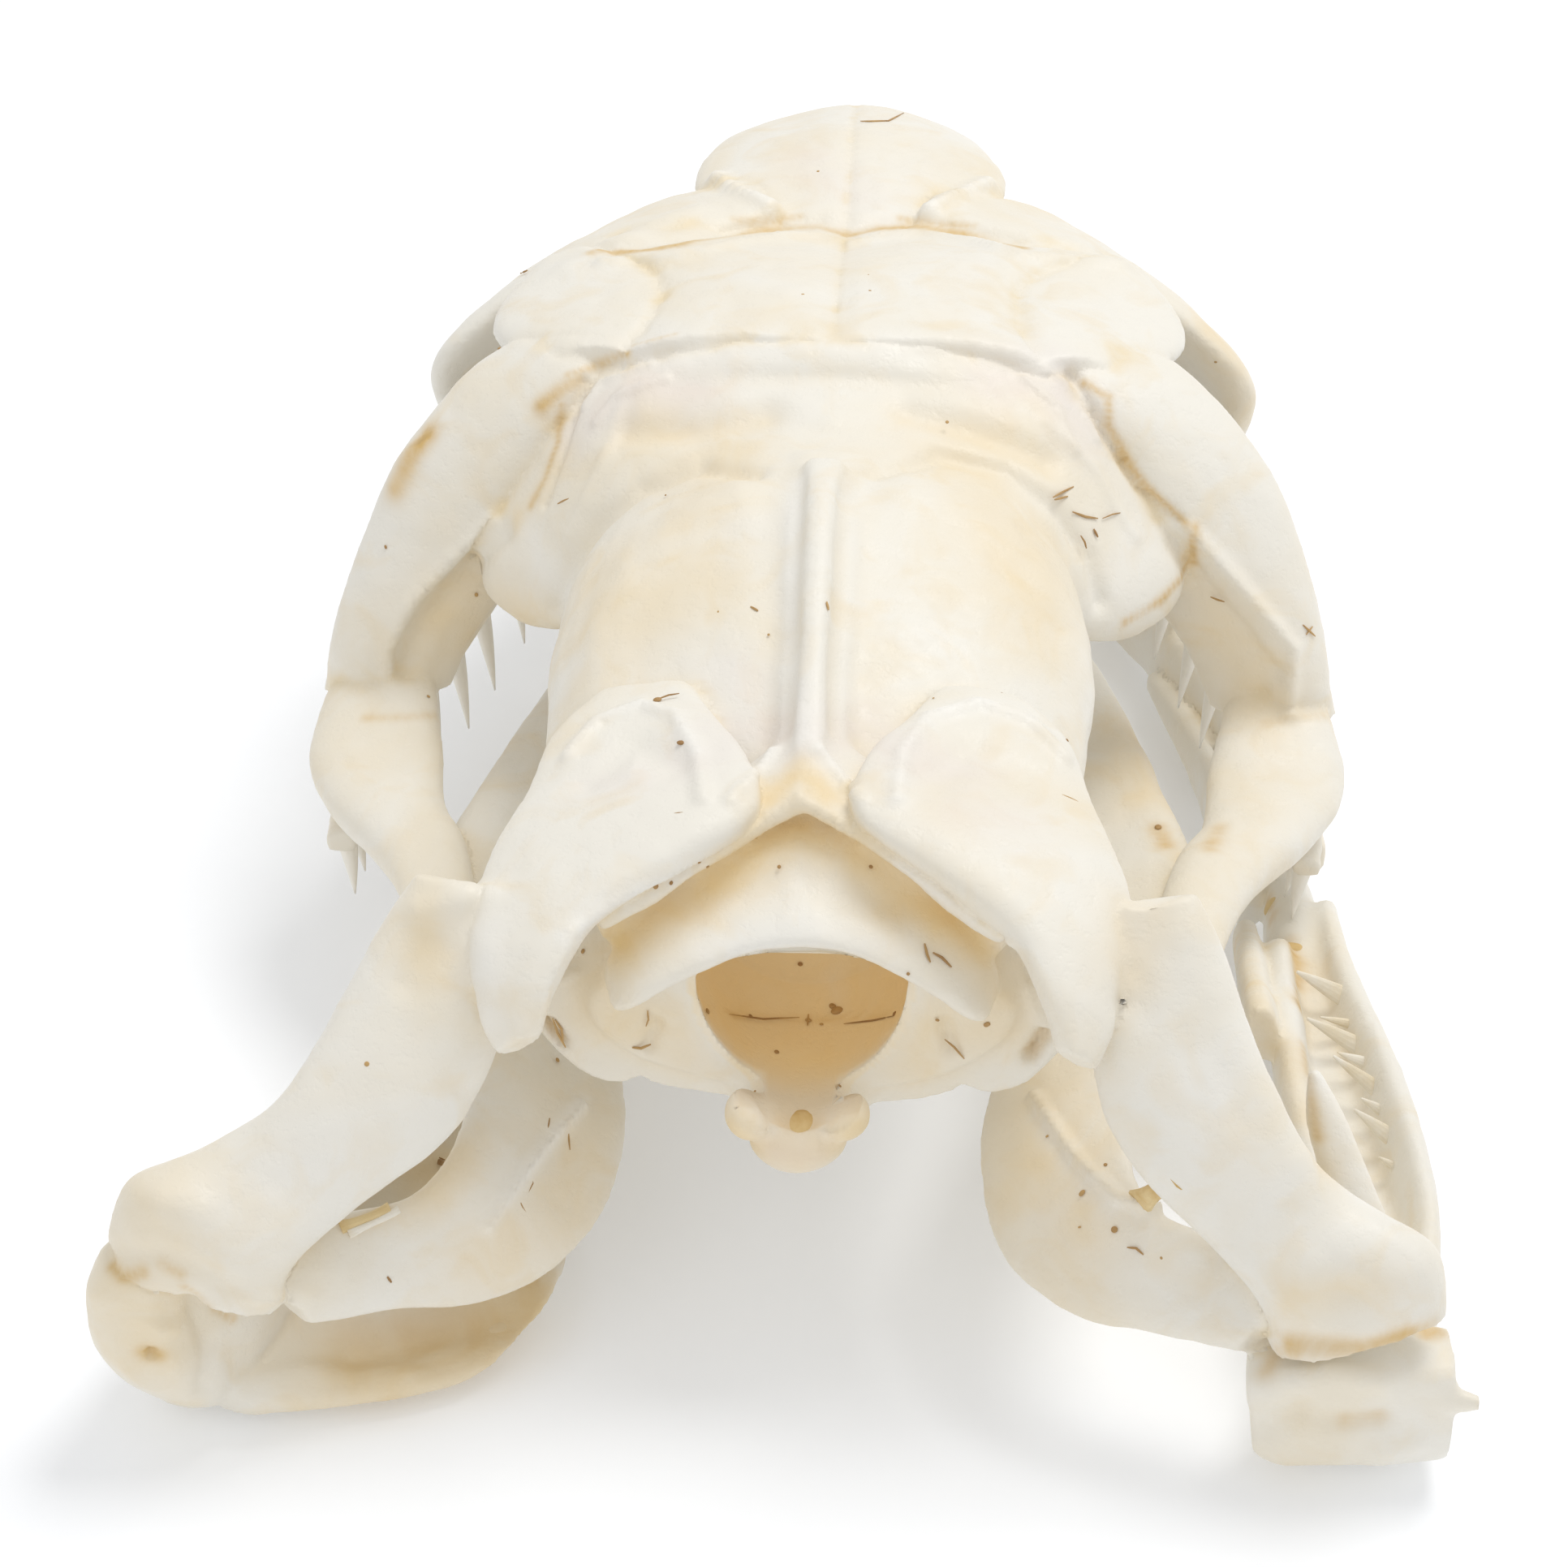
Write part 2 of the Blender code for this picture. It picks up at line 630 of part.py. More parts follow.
NASAL_SEPTUM = (
    (0.3, 28.0, 13.6, 0.3, 28.0, 11.2, 1.2),
    (0.3, 31.5, 13.6, 0.3, 31.5, 10.6, 1.2),
    (0.3, 35.0, 12.8, 0.3, 35.0, 10.4, 1.2),
)

MAXILLA = (
    (2.2, 36.9, 7.9, 2.2, 36.9, 6.0, 1.2),
    (4.9, 34.2, 9.8, 4.7, 34.3, 5.4, 1.4),
    (7.0, 30.8, 10.4, 6.8, 31.0, 4.8, 1.5),
    (8.9, 26.8, 8.6, 8.5, 26.8, 4.5, 1.6),
    (10.2, 22.4, 6.6, 9.8, 22.4, 4.4, 1.5),
    (11.3, 18.6, 5.4, 11.0, 18.6, 4.2, 1.2),
    (12.0, 15.8, 4.6, 11.8, 15.8, 3.9, 1.0),
    (12.1, 13.4, 4.5, 11.9, 13.4, 3.9, 0.8),
)

PALATINE = (
    (4.0, 33.0, 5.8, 3.2, 33.0, 5.7, 1.0),
    (4.6, 30.0, 5.7, 3.4, 30.0, 5.5, 1.3),
    (5.0, 27.0, 5.5, 3.8, 27.0, 5.3, 1.2),
    (5.2, 24.2, 5.2, 4.2, 24.2, 5.1, 1.0),
)

PALATINE_MAXILLARY_ARM = (
    (4.4, 30.2, 5.8, 4.4, 28.2, 5.7, 0.9),
    (6.6, 30.0, 6.2, 6.5, 28.8, 6.2, 0.8),
)

PALATINE_CHOANAL_ARM = (
    (3.9, 29.6, 5.8, 4.0, 27.4, 5.6, 0.9),
    (2.6, 29.4, 6.6, 2.7, 27.6, 6.4, 0.8),
    (1.6, 29.0, 7.4, 1.6, 27.8, 7.2, 0.7),
)

VOMER = (
    (1.9, 35.6, 7.4, -0.3, 35.6, 7.4, 1.0),
    (2.4, 32.0, 7.9, -0.3, 32.0, 7.9, 1.8),
    (1.7, 28.4, 7.9, -0.3, 28.4, 7.9, 1.0),
)

SEPTOMAXILLA = (
    (1.8, 35.2, 9.2, -0.3, 35.2, 9.6, 2.0),
    (3.4, 33.0, 9.6, -0.3, 33.0, 10.0, 2.6),
    (3.0, 30.2, 10.0, -0.3, 30.2, 10.4, 1.8),
)

PREMAXILLA_STEM = (
    (-0.5, 36.5, 12.2, 0.5, 36.5, 12.2, 0.8),
    (-0.6, 37.5, 10.4, 0.6, 37.5, 10.4, 1.0),
    (-1.3, 37.9, 7.6, 1.3, 37.9, 7.6, 1.6),
)

PREMAXILLA_GUM = (
    (-2.3, 36.9, 7.6, -2.3, 36.9, 6.2, 1.1),
    (0.0, 38.0, 7.8, 0.0, 38.0, 6.2, 1.3),
    (2.3, 36.9, 7.6, 2.3, 36.9, 6.2, 1.1),
)

# Lower jaw, in its own frame: X outwards, Y ahead of the joint, Z up from its lower edge

COMPOUND_BODY = (
    (1.7, -0.9, 2.0, -1.9, -0.9, 1.9, 2.4),
    (2.1, 0.2, 1.8, -2.2, 0.2, 1.8, 3.2),
    (2.0, 1.8, 1.8, -1.7, 1.8, 1.8, 3.1),
    (1.9, 6.0, 1.3, -0.9, 6.0, 1.3, 2.5),
    (1.4, 11.0, 1.4, -0.7, 11.0, 1.4, 2.6),
    (0.9, 16.0, 1.6, -0.8, 16.0, 1.6, 2.6),
    (0.4, 20.0, 1.6, -0.4, 20.0, 1.6, 1.6),
)

# Joint ends: the right one is a squared block with a hook, the left one a rounded knob

RIGHT_JAW_END = (
    (-2.45, -1.1, 2.0, -2.35, 0.4, 2.0, 2.3),
    (-1.6, -1.4, 2.1, -1.6, 0.8, 2.1, 2.8),
    (0.6, -1.4, 2.2, 0.6, 0.8, 2.2, 3.0),
    (2.0, -1.3, 2.2, 2.0, 0.6, 2.2, 2.8),
)

RIGHT_JAW_HOOK = (
    (1.3, -1.3, 2.6, 1.3, -0.4, 2.6, 1.0),
    (2.1, -1.45, 2.8, 2.1, -0.9, 2.75, 0.65),
    (2.62, -1.6, 2.95, 2.62, -1.3, 2.92, 0.4),
)

LEFT_JAW_END = (
    (-1.7, -0.9, 1.9, -1.7, 0.9, 1.9, 2.2),
    (-0.7, -2.0, 1.9, -0.7, 0.8, 1.9, 2.6),
    (0.9, -2.65, 1.75, 0.9, 0.6, 1.75, 2.5),
    (2.2, -2.6, 1.7, 2.2, 0.4, 1.7, 2.1),
    (2.9, -2.1, 1.6, 2.9, 0.0, 1.6, 1.5),
)

COMPOUND_INNER_CREST = (
    (-1.7, -0.4, 3.7, -1.4, -0.5, 1.8, 0.9),
    (-1.8, 1.0, 5.6, -1.2, 0.9, 1.8, 0.8),
    (-1.8, 2.7, 7.4, -1.0, 2.6, 1.8, 0.8),
    (-1.5, 4.3, 8.0, -0.9, 4.6, 1.8, 0.8),
    (-1.4, 6.2, 7.8, -0.8, 6.6, 1.8, 0.8),
    (-1.6, 8.4, 6.9, -0.7, 8.8, 1.8, 0.8),
    (-1.2, 11.6, 4.9, -0.7, 11.6, 1.8, 0.8),
    (-0.8, 15.0, 3.2, -0.7, 15.0, 1.8, 0.7),
)

# The right crest is broken low, and a spike of it stands behind

COMPOUND_LOW_CREST = (
    (-0.3, 2.6, 3.9, -0.2, 2.6, 1.8, 1.0),
    (-0.6, 5.0, 4.2, -0.5, 5.0, 1.8, 1.0),
    (-0.8, 8.4, 4.3, -0.6, 8.4, 1.8, 0.9),
    (-0.8, 11.6, 4.2, -0.5, 11.6, 1.8, 0.8),
    (-0.6, 15.0, 3.2, -0.5, 15.0, 1.8, 0.7),
)

COMPOUND_SPIKE = (
    (-0.6, 2.5, 3.0, 1.05, 2.5, 3.0, 1.0),
    (-0.6, 2.8, 4.1, 0.95, 2.7, 4.1, 0.9),
    (-0.85, 3.5, 5.3, 0.45, 3.4, 5.35, 0.8),
    (-1.1, 4.2, 6.3, -0.15, 4.2, 6.5, 0.7),
    (-1.05, 4.85, 7.2, -0.75, 4.9, 7.3, 0.5),
)

COMPOUND_OUTER_CREST = (
    (1.5, 1.4, 3.3, 1.3, 1.4, 1.6, 0.8),
    (2.0, 4.5, 3.8, 1.6, 4.5, 1.4, 0.8),
    (1.6, 9.0, 4.0, 1.3, 9.0, 1.4, 0.8),
    (0.9, 13.5, 3.6, 0.8, 13.5, 1.4, 0.8),
    (0.8, 17.0, 2.9, 0.7, 17.0, 1.4, 0.7),
)

# The coronoid lies on the inner side of its compound's crest

RIGHT_CORONOID = (
    (-1.6, 9.6, 5.2, -1.3, 9.6, 3.6, 0.7),
    (-1.5, 12.6, 4.3, -1.3, 12.6, 2.4, 0.8),
    (-1.3, 16.0, 3.0, -1.3, 16.0, 1.7, 0.7),
)

LEFT_CORONOID = (
    (-2.2, 9.6, 5.6, -1.9, 9.6, 3.6, 0.7),
    (-1.8, 12.6, 4.3, -1.6, 12.6, 2.4, 0.8),
    (-1.3, 16.0, 3.0, -1.3, 16.0, 1.7, 0.7),
)

# Bodies of each compound bone's own, with the squareness of their sections

JAW_OWN = {
    "right": ((RIGHT_JAW_END, 5.0), (RIGHT_JAW_HOOK, 2.4), (COMPOUND_LOW_CREST, 2.4), (COMPOUND_SPIKE, 2.4)),
    "left": ((LEFT_JAW_END, 2.6), (COMPOUND_INNER_CREST, 2.4)),
}
CORONOIDS = {"right": RIGHT_CORONOID, "left": LEFT_CORONOID}

# The dentary's frame starts at the hinge between the two halves of the jaw

DENTARY = (
    (0.75, 0.6, 2.5, 0.7, 0.6, 1.5, 0.7),
    (1.0, 2.8, 2.8, 0.95, 2.8, 1.0, 0.9),
    (1.0, 6.0, 2.8, 0.9, 6.0, 0.4, 1.3),
    (0.6, 11.0, 2.7, 0.5, 11.0, 0.3, 1.4),
    (-0.3, 17.0, 2.5, -0.4, 17.0, 0.3, 1.4),
    (-1.6, 21.2, 2.3, -1.6, 21.2, 0.6, 1.2),
)

SPLENIAL = (
    (-1.4, -0.5, 2.6, -1.5, -0.5, 0.8, 0.6),
    (-0.9, 2.0, 2.4, -1.0, 2.0, 0.4, 0.7),
    (-0.3, 6.0, 2.0, -0.4, 6.0, 0.5, 0.7),
    (-0.2, 10.5, 1.5, -0.2, 10.5, 0.8, 0.6),
)


def turn_about(pivot, axis, degrees):
    shift = Matrix.Translation(pivot)
    return shift @ Matrix.Rotation(math.radians(degrees), 4, axis) @ shift.inverted()


def jaw_place(joint, yaw, roll=0.0, pitch=0.0):
    """Matrix from a jaw half's own frame to the skull's, turned about its knob at the joint."""
    turn = Matrix.Rotation(math.radians(yaw), 4, "Z")
    nod = Matrix.Rotation(math.radians(pitch), 4, "X")
    twist = Matrix.Rotation(math.radians(roll), 4, "Y")
    knob = Matrix.Translation((0, 0, -JAW_KNOB_HEIGHT))
    return Matrix.Translation(joint) @ turn @ nod @ twist @ knob


RIGHT_COMPOUND = jaw_place(RIGHT_JAW_JOINT, 2.7)
RIGHT_DENTARY = jaw_place(RIGHT_JAW_HINGE, 18.0)
LEFT_COMPOUND = jaw_place(LEFT_JAW_JOINT, -25.0, 87.0, -3.4)
LEFT_DENTARY = jaw_place(LEFT_JAW_HINGE, -10.0, 88.0, 2.9)


def both_sides(braincase):
    """The paired bones of the upper skull, fused and cut clear of their neighbours."""
    made = {"braincase": braincase}

    def add(name, bodies, clear, meets_twin=False):
        item = fuse(name, [sweep(body) for body in bodies])
        if meets_twin:
            without(item, (-FAR, -FAR, -FAR), (GAP / 2, FAR, FAR))
        cut_clear(item, [made[other] for other in clear])
        made[name] = item

    add("supratemporal", [SUPRATEMPORAL], ["braincase"])
    add("quadrate", [QUADRATE], ["supratemporal", "braincase"])
    add("frontal", [FRONTAL_ROOF, FRONTAL_WALL], ["braincase"], True)
    add("prefrontal", [PREFRONTAL], ["frontal"])
    add("supraorbital", [SUPRAORBITAL], ["frontal", "prefrontal", "braincase"])
    add("postorbital", [POSTORBITAL, POSTORBITAL_FLANGE], ["braincase", "supraorbital", "frontal"])
    add("nasal", [NASAL, NASAL_SEPTUM], ["frontal", "prefrontal"], True)
    add("maxilla", [MAXILLA], ["prefrontal", "postorbital"])
    add("pterygoid", [PTERYGOID], ["quadrate", "braincase"])
    add("ectopterygoid", [ECTOPTERYGOID], ["maxilla", "postorbital", "pterygoid"])
    add("palatine", [PALATINE, PALATINE_MAXILLARY_ARM, PALATINE_CHOANAL_ARM], ["pterygoid", "maxilla"])
    add("vomer", [VOMER], ["palatine", "braincase"], True)
    add("septomaxilla", [SEPTOMAXILLA], ["nasal", "vomer", "maxilla", "braincase"], True)
    del made["braincase"]
    return made


TRIANGLES = {
    "supratemporal": 220, "quadrate": 300, "frontal": 200, "prefrontal": 240, "supraorbital": 120,
    "postorbital": 280, "nasal": 180, "maxilla": 320, "pterygoid": 340, "ectopterygoid": 180,
    "palatine": 200, "vomer": 90, "septomaxilla": 100, "premaxilla": 200, "compound": 420,
    "coronoid": 80, "dentary": 220, "splenial": 80,
}


def left_twin(name, item):
    """Mirror a finished right bone; the left quadrate leans further out, its pterygoid with it."""
    twin = link_mesh(name + "_left", item.data.copy())
    if name == "quadrate":
        twin.data.transform(turn_about(QUADRATE_HEAD * MM, "Y", -QUADRATE_SPLAY_LEFT))
    if name == "pterygoid":
        for vertex in twin.data.vertices:
            behind = max(0.0, PTERYGOID_BEND_FROM - vertex.co.y / MM)
            vertex.co.x += PTERYGOID_BEND_LEFT * behind ** 2 * MM
    twin.data.transform(Matrix.Diagonal((-1, 1, 1, 1)))
    twin.data.flip_normals()
    return twin


def settle(item, colour):
    """Give a finished bone its material and put it in the skull's collection."""
    item.data.materials.clear()
    item.data.materials.append(bone_material(item.name + "_bone", colour))
    skull = bpy.data.collections[COLLECTION]
    for group in list(item.users_collection):
        group.objects.unlink(item)
    skull.objects.link(item)


def main():
    clear_scene()
    skull = bpy.data.collections.new(COLLECTION)
    bpy.context.scene.collection.children.link(skull)

    block = braincase_block()
    made = both_sides(block)

    upper_teeth = {
        "maxilla": tooth_row(MAXILLA, MAXILLA_TEETH, "b", (3.0, 1.1), (-0.25, -0.35, -1.0), 11),
        "palatine": tooth_row(PALATINE, PALATINE_TEETH, "b", (2.4, 1.6), (0.1, -0.3, -1.0), 12, 0.7),
        "pterygoid": tooth_row(PTERYGOID[:4], PTERYGOID_TEETH, "b", (1.5, 1.0), (0.1, -0.3, -1.0), 13, 0.7),
    }
    for name, item in made.items():
        thin_out(item, TRIANGLES[name])
        if name in upper_teeth:
            add_teeth(item, upper_teeth[name])
        twin = left_twin(name, item)
        item.name = name + "_right"
        settle(item, IVORY)
        settle(twin, IVORY)

    for item, triangles, colour in braincase_bones(block):
        thin_out(item, triangles)
        settle(item, colour)

    premaxilla = fuse("premaxilla", [sweep(PREMAXILLA_STEM), sweep(PREMAXILLA_GUM)])
    cut_clear(premaxilla, [bpy.data.objects[n] for n in
                           ("nasal_right", "nasal_left", "maxilla_right", "maxilla_left")])
    thin_out(premaxilla, TRIANGLES["premaxilla"])
    small_teeth = tooth_row(PREMAXILLA_GUM, PREMAXILLA_TEETH, "b", (1.5, 1.5), (0.0, -0.3, -1.0), 31, 0.7)
    add_teeth(premaxilla, small_teeth)
    settle(premaxilla, IVORY)

    lower_jaws()
    discard(block)
    stand_on_origin()


def stand_on_origin():
    """Move the whole skull so that its box stands centred on the origin."""
    bones = bpy.data.collections[COLLECTION].objects
    corners = [vertex.co for bone in bones for vertex in bone.data.vertices]
    low = Vector([min(corner[axis] for corner in corners) for axis in range(3)])
    high = Vector([max(corner[axis] for corner in corners) for axis in range(3)])
    shift = Vector((-(low.x + high.x) / 2, -(low.y + high.y) / 2, -low.z))
    for bone in bones:
        bone.data.transform(Matrix.Translation(shift))


def jaw_bones(side):
    """The four bones of one lower jaw by kind, each in its own frame as a right one."""
    own = [sweep(table, square) for table, square in JAW_OWN[side]]
    bones = {
        "compound": fuse("compound_" + side, [sweep(COMPOUND_BODY), sweep(COMPOUND_OUTER_CREST)] + own),
        "coronoid": fuse("coronoid_" + side, [sweep(CORONOIDS[side])]),
        "dentary": fuse("dentary_" + side, [sweep(DENTARY)]),
        "splenial": fuse("splenial_" + side, [sweep(SPLENIAL)]),
    }
    cut_clear(bones["coronoid"], [bones["compound"]])
    cut_clear(bones["splenial"], [bones["dentary"]])
    for kind, item in bones.items():
        thin_out(item, TRIANGLES[kind])
    add_teeth(bones["dentary"],
              tooth_row(DENTARY[2:], DENTARY_TEETH, "a", (0.8, 1.9), (-0.4, -0.3, 1.0), 21, 0.7))
    return bones


def lower_jaws():
    places = {
        "right": (RIGHT_COMPOUND, RIGHT_DENTARY, Matrix.Identity(4)),
        "left": (LEFT_COMPOUND, LEFT_DENTARY, Matrix.Diagonal((-1, 1, 1, 1))),
    }
    clear_of = {"compound": ("quadrate_", "pterygoid_", "maxilla_"), "dentary": ("compound_", "maxilla_")}
    for side, (rear_place, front_place, hand) in places.items():
        for kind, item in jaw_bones(side).items():
            place = rear_place if kind in ("compound", "coronoid") else front_place
            item.data.transform(Matrix.Scale(MM, 4) @ place @ Matrix.Scale(1 / MM, 4) @ hand)
            if side == "left":
                item.data.flip_normals()
            without(item, (-FAR, -FAR, -FAR), (FAR, FAR, 0.0))
            if kind in clear_of:
                cut_clear(item, [bpy.data.objects[bone + side] for bone in clear_of[kind]])
            settle(item, IVORY)


main()
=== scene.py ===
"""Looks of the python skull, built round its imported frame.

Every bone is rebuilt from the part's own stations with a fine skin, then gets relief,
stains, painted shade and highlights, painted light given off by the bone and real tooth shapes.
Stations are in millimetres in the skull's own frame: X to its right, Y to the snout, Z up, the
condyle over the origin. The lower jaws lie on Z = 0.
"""

import math
import random

import bmesh
import bpy
import numpy as np
from mathutils import Matrix, Vector
from mathutils.bvhtree import BVHTree


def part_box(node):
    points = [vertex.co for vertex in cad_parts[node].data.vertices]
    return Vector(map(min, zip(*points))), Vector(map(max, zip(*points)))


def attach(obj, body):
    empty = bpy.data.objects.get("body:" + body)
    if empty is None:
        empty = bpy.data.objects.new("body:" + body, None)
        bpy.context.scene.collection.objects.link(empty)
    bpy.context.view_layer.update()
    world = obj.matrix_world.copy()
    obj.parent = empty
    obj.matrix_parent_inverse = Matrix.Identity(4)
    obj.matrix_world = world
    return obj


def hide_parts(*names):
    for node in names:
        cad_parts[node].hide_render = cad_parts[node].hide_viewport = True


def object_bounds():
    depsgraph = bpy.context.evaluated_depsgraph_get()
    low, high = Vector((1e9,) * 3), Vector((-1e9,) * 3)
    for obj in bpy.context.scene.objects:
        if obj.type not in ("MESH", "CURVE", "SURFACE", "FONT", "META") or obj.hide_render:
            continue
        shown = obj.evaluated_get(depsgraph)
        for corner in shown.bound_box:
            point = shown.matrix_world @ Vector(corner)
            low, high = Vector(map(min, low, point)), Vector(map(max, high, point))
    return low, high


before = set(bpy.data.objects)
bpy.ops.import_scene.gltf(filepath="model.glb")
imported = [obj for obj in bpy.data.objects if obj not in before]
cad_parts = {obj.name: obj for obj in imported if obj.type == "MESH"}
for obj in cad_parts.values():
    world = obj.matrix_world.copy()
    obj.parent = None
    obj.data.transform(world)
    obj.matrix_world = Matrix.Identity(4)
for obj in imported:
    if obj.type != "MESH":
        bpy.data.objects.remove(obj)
CAD_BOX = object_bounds()

MM = 0.001
FINE_VOXEL = 0.11
VOXEL = FINE_VOXEL
FILLET_ROUNDS = 22            # how far creases between bones are filled
FILLET_MOST = 0.35
LIP = 0.3                     # depth at which a piece is closed where it joins its neighbours
RING_SIDES = 20
SPAN_STEPS = 6
BONE_REACH = 1.3              # how far a point of the skin may lie from its bone
NO_BONE = 9.0                 # distance written where no bone is in reach

GAP = 0.3                     # the CAD's clearance between bones
SUTURE_FRONTAL = 19.5         # Y of the CAD's seam between frontals and parietal
SUTURE_ROOF = 10.9            # Z of its seam under the supraoccipital

# From the stations' frame to the row's frame, read off the CAD's seams
SHIFT = Vector((
    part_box("exoccipital_right")[0][0] / MM - GAP / 2,
    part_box("parietal")[1][1] / MM - SUTURE_FRONTAL + GAP / 2,
    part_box("supraoccipital")[0][2] / MM - SUTURE_ROOF - GAP / 2,
))

QUADRATE_SPLAY_LEFT = 6.5     # degrees that the left quadrate leans further out
QUADRATE_HEAD = Vector((7.8, 0.6, 11.6))
PTERYGOID_BEND_FROM = 5.0     # Y behind which the left pterygoid follows that quadrate
PTERYGOID_BEND_LEFT = 0.012   # its outward bend for each square millimetre behind there

JAW_KNOB_HEIGHT = 1.9         # middle of the jaw's joint end above its lower edge
RIGHT_JAW_JOINT = Vector((12.6, -2.9, 1.85))
RIGHT_JAW_HINGE = Vector((12.0, 16.1, 1.8))
LEFT_JAW_JOINT = Vector((-13.65, -2.2, 2.35))
LEFT_JAW_HINGE = Vector((-5.8, 14.8, 1.3))


# Tools

def link_mesh(name, mesh):
    item = bpy.data.objects.new(name, mesh)
    bpy.context.scene.collection.objects.link(item)
    return item


def mesh_from(name, points, faces):
    mesh = bpy.data.meshes.new(name)
    mesh.from_pydata([Vector(p) * MM for p in points], [], faces)
    mesh.update()
    return mesh


def bake_modifiers(item):
    graph = bpy.context.evaluated_depsgraph_get()
    baked = bpy.data.meshes.new_from_object(item.evaluated_get(graph))
    old = item.data
    item.modifiers.clear()
    item.data = baked
    bpy.data.meshes.remove(old)


def discard(item):
    mesh = item.data
    bpy.data.objects.remove(item, do_unlink=True)
    bpy.data.meshes.remove(mesh)


def spline_row(rows, index, t):
    """Point on the smooth curve through rows, between index and index + 1."""
    last = len(rows) - 1
    quad = [rows[min(max(index + k, 0), last)] for k in (-1, 0, 1, 2)]
    mixed = []
    for before, start, end, after in zip(*quad):
        lean_start = (end - before) / 2
        lean_end = (after - start) / 2
        mixed.append((2 * t ** 3 - 3 * t ** 2 + 1) * start + (t ** 3 - 2 * t ** 2 + t) * lean_start
                     + (3 * t ** 2 - 2 * t ** 3) * end + (t ** 3 - t ** 2) * lean_end)
    return mixed


def spline_rows(rows, steps):
    fine = []
    for index in range(len(rows) - 1):
        for step in range(steps):
            fine.append(spline_row(rows, index, step / steps))
    fine.append(list(rows[-1]))
    return fine


def sweep(stations, square=2.4, sides=RING_SIDES, steps=SPAN_STEPS):
    """Closed body through stations (ax, ay, az, bx, by, bz, thickness)."""
    rows = spline_rows(stations, steps)
    edges_a = [Vector(row[0:3]) for row in rows]
    edges_b = [Vector(row[3:6]) for row in rows]
    centres = [(a + b) / 2 for a, b in zip(edges_a, edges_b)]
    points = []
    last = len(rows) - 1
    for index, row in enumerate(rows):
        ahead = centres[min(index + 1, last)] - centres[max(index - 1, 0)]
        across = (edges_b[index] - edges_a[index]) / 2
        normal = ahead.cross(across).normalized() * row[6] / 2
        for side in range(sides):
            angle = 2 * math.pi * side / sides
            cosine = math.cos(angle)
            sine = math.sin(angle)
            along_width = math.copysign(abs(cosine) ** (2 / square), cosine)
            along_height = math.copysign(abs(sine) ** (2 / square), sine)
            points.append(centres[index] + across * along_width + normal * along_height)
    return points, tube_faces(last, sides)


def level(rows):
    """Stations that lie level across the middle, from rows of half width, y, z, thickness."""
    return [(-half, y, z, half, y, z, thick) for half, y, z, thick in rows]


def bridged(rows):
    """Stations from the middle to the right, carried on to the left."""
    return [(-ax, ay, az, -bx, by, bz, thick) for ax, ay, az, bx, by, bz, thick in rows[:0:-1]] + list(rows)


def tube_faces(last, sides):
    faces = []
    for index in range(last):
        for side in range(sides):
            after = (side + 1) % sides
            low = index * sides
            high = low + sides
            faces.append((low + side, low + after, high + after, high + side))
    faces.append(tuple(reversed(range(sides))))
    faces.append(tuple(last * sides + side for side in range(sides)))
    return faces


def ball(centre, radii, sides=16):
    """Ellipsoid as a swept body."""
    stations = []
    for step in range(sides + 1):
        angle = math.pi * (0.04 + 0.92 * step / sides)
        y = centre[1] - radii[1] * math.cos(angle)
        reach = radii[0] * math.sin(angle)
        height = 2 * radii[2] * math.sin(angle)
        stations.append((centre[0] - reach, y, centre[2], centre[0] + reach, y, centre[2], height))
    return sweep(stations, square=2.0, steps=1)


def vault(stations, sides=40):
    """Closed body along Y through sections (y, half width, top, widest height, bottom)."""
    rows = spline_rows(stations, SPAN_STEPS)
    points = []
    for y, half, top, middle, bottom in rows:
        for side in range(sides):
            angle = -2 * math.pi * side / sides
            sine = math.sin(angle)
            reach = top - middle if sine > 0 else middle - bottom
            points.append(Vector((half * math.cos(angle), y, middle + reach * sine)))
    return points, tube_faces(len(rows) - 1, sides)


def mirrored(body):
    points, faces = body
    return [Vector((-p.x, p.y, p.z)) for p in points], [tuple(reversed(face)) for face in faces]


def join_bodies(name, bodies):
    points = []
    faces = []
    for body_points, body_faces in bodies:
        start = len(points)
        points.extend(body_points)
        faces.extend(tuple(start + corner for corner in face) for face in body_faces)
    item = link_mesh(name, mesh_from(name, points, faces))
    work = bmesh.new()
    work.from_mesh(item.data)
    bmesh.ops.recalc_face_normals(work, faces=work.faces)
    work.to_mesh(item.data)
    work.free()
    return item


def fuse(name, bodies, smoothing):
    """One fine skin round all the bodies of a bone."""
    item = join_bodies(name, bodies)
    remesh = item.modifiers.new("fuse", "REMESH")
    remesh.mode = "VOXEL"
    remesh.voxel_size = VOXEL * MM
    smooth = item.modifiers.new("smooth", "SMOOTH")
    smooth.factor = 0.5
    smooth.iterations = smoothing
    bake_modifiers(item)
    return item


# Relief: points are arrays in millimetres, in the stations' frame

def read_points(mesh):
    flat = np.empty(len(mesh.vertices) * 3, dtype=np.float32)
    mesh.vertices.foreach_get("co", flat)
    return flat.reshape(-1, 3).astype(np.float64) / MM


def read_normals(mesh):
    flat = np.empty(len(mesh.vertices) * 3, dtype=np.float32)
    mesh.vertices.foreach_get("normal", flat)
    return flat.reshape(-1, 3).astype(np.float64)


def write_points(mesh, points):
    mesh.vertices.foreach_set("co", (points * MM).astype(np.float32).ravel())
    mesh.update()


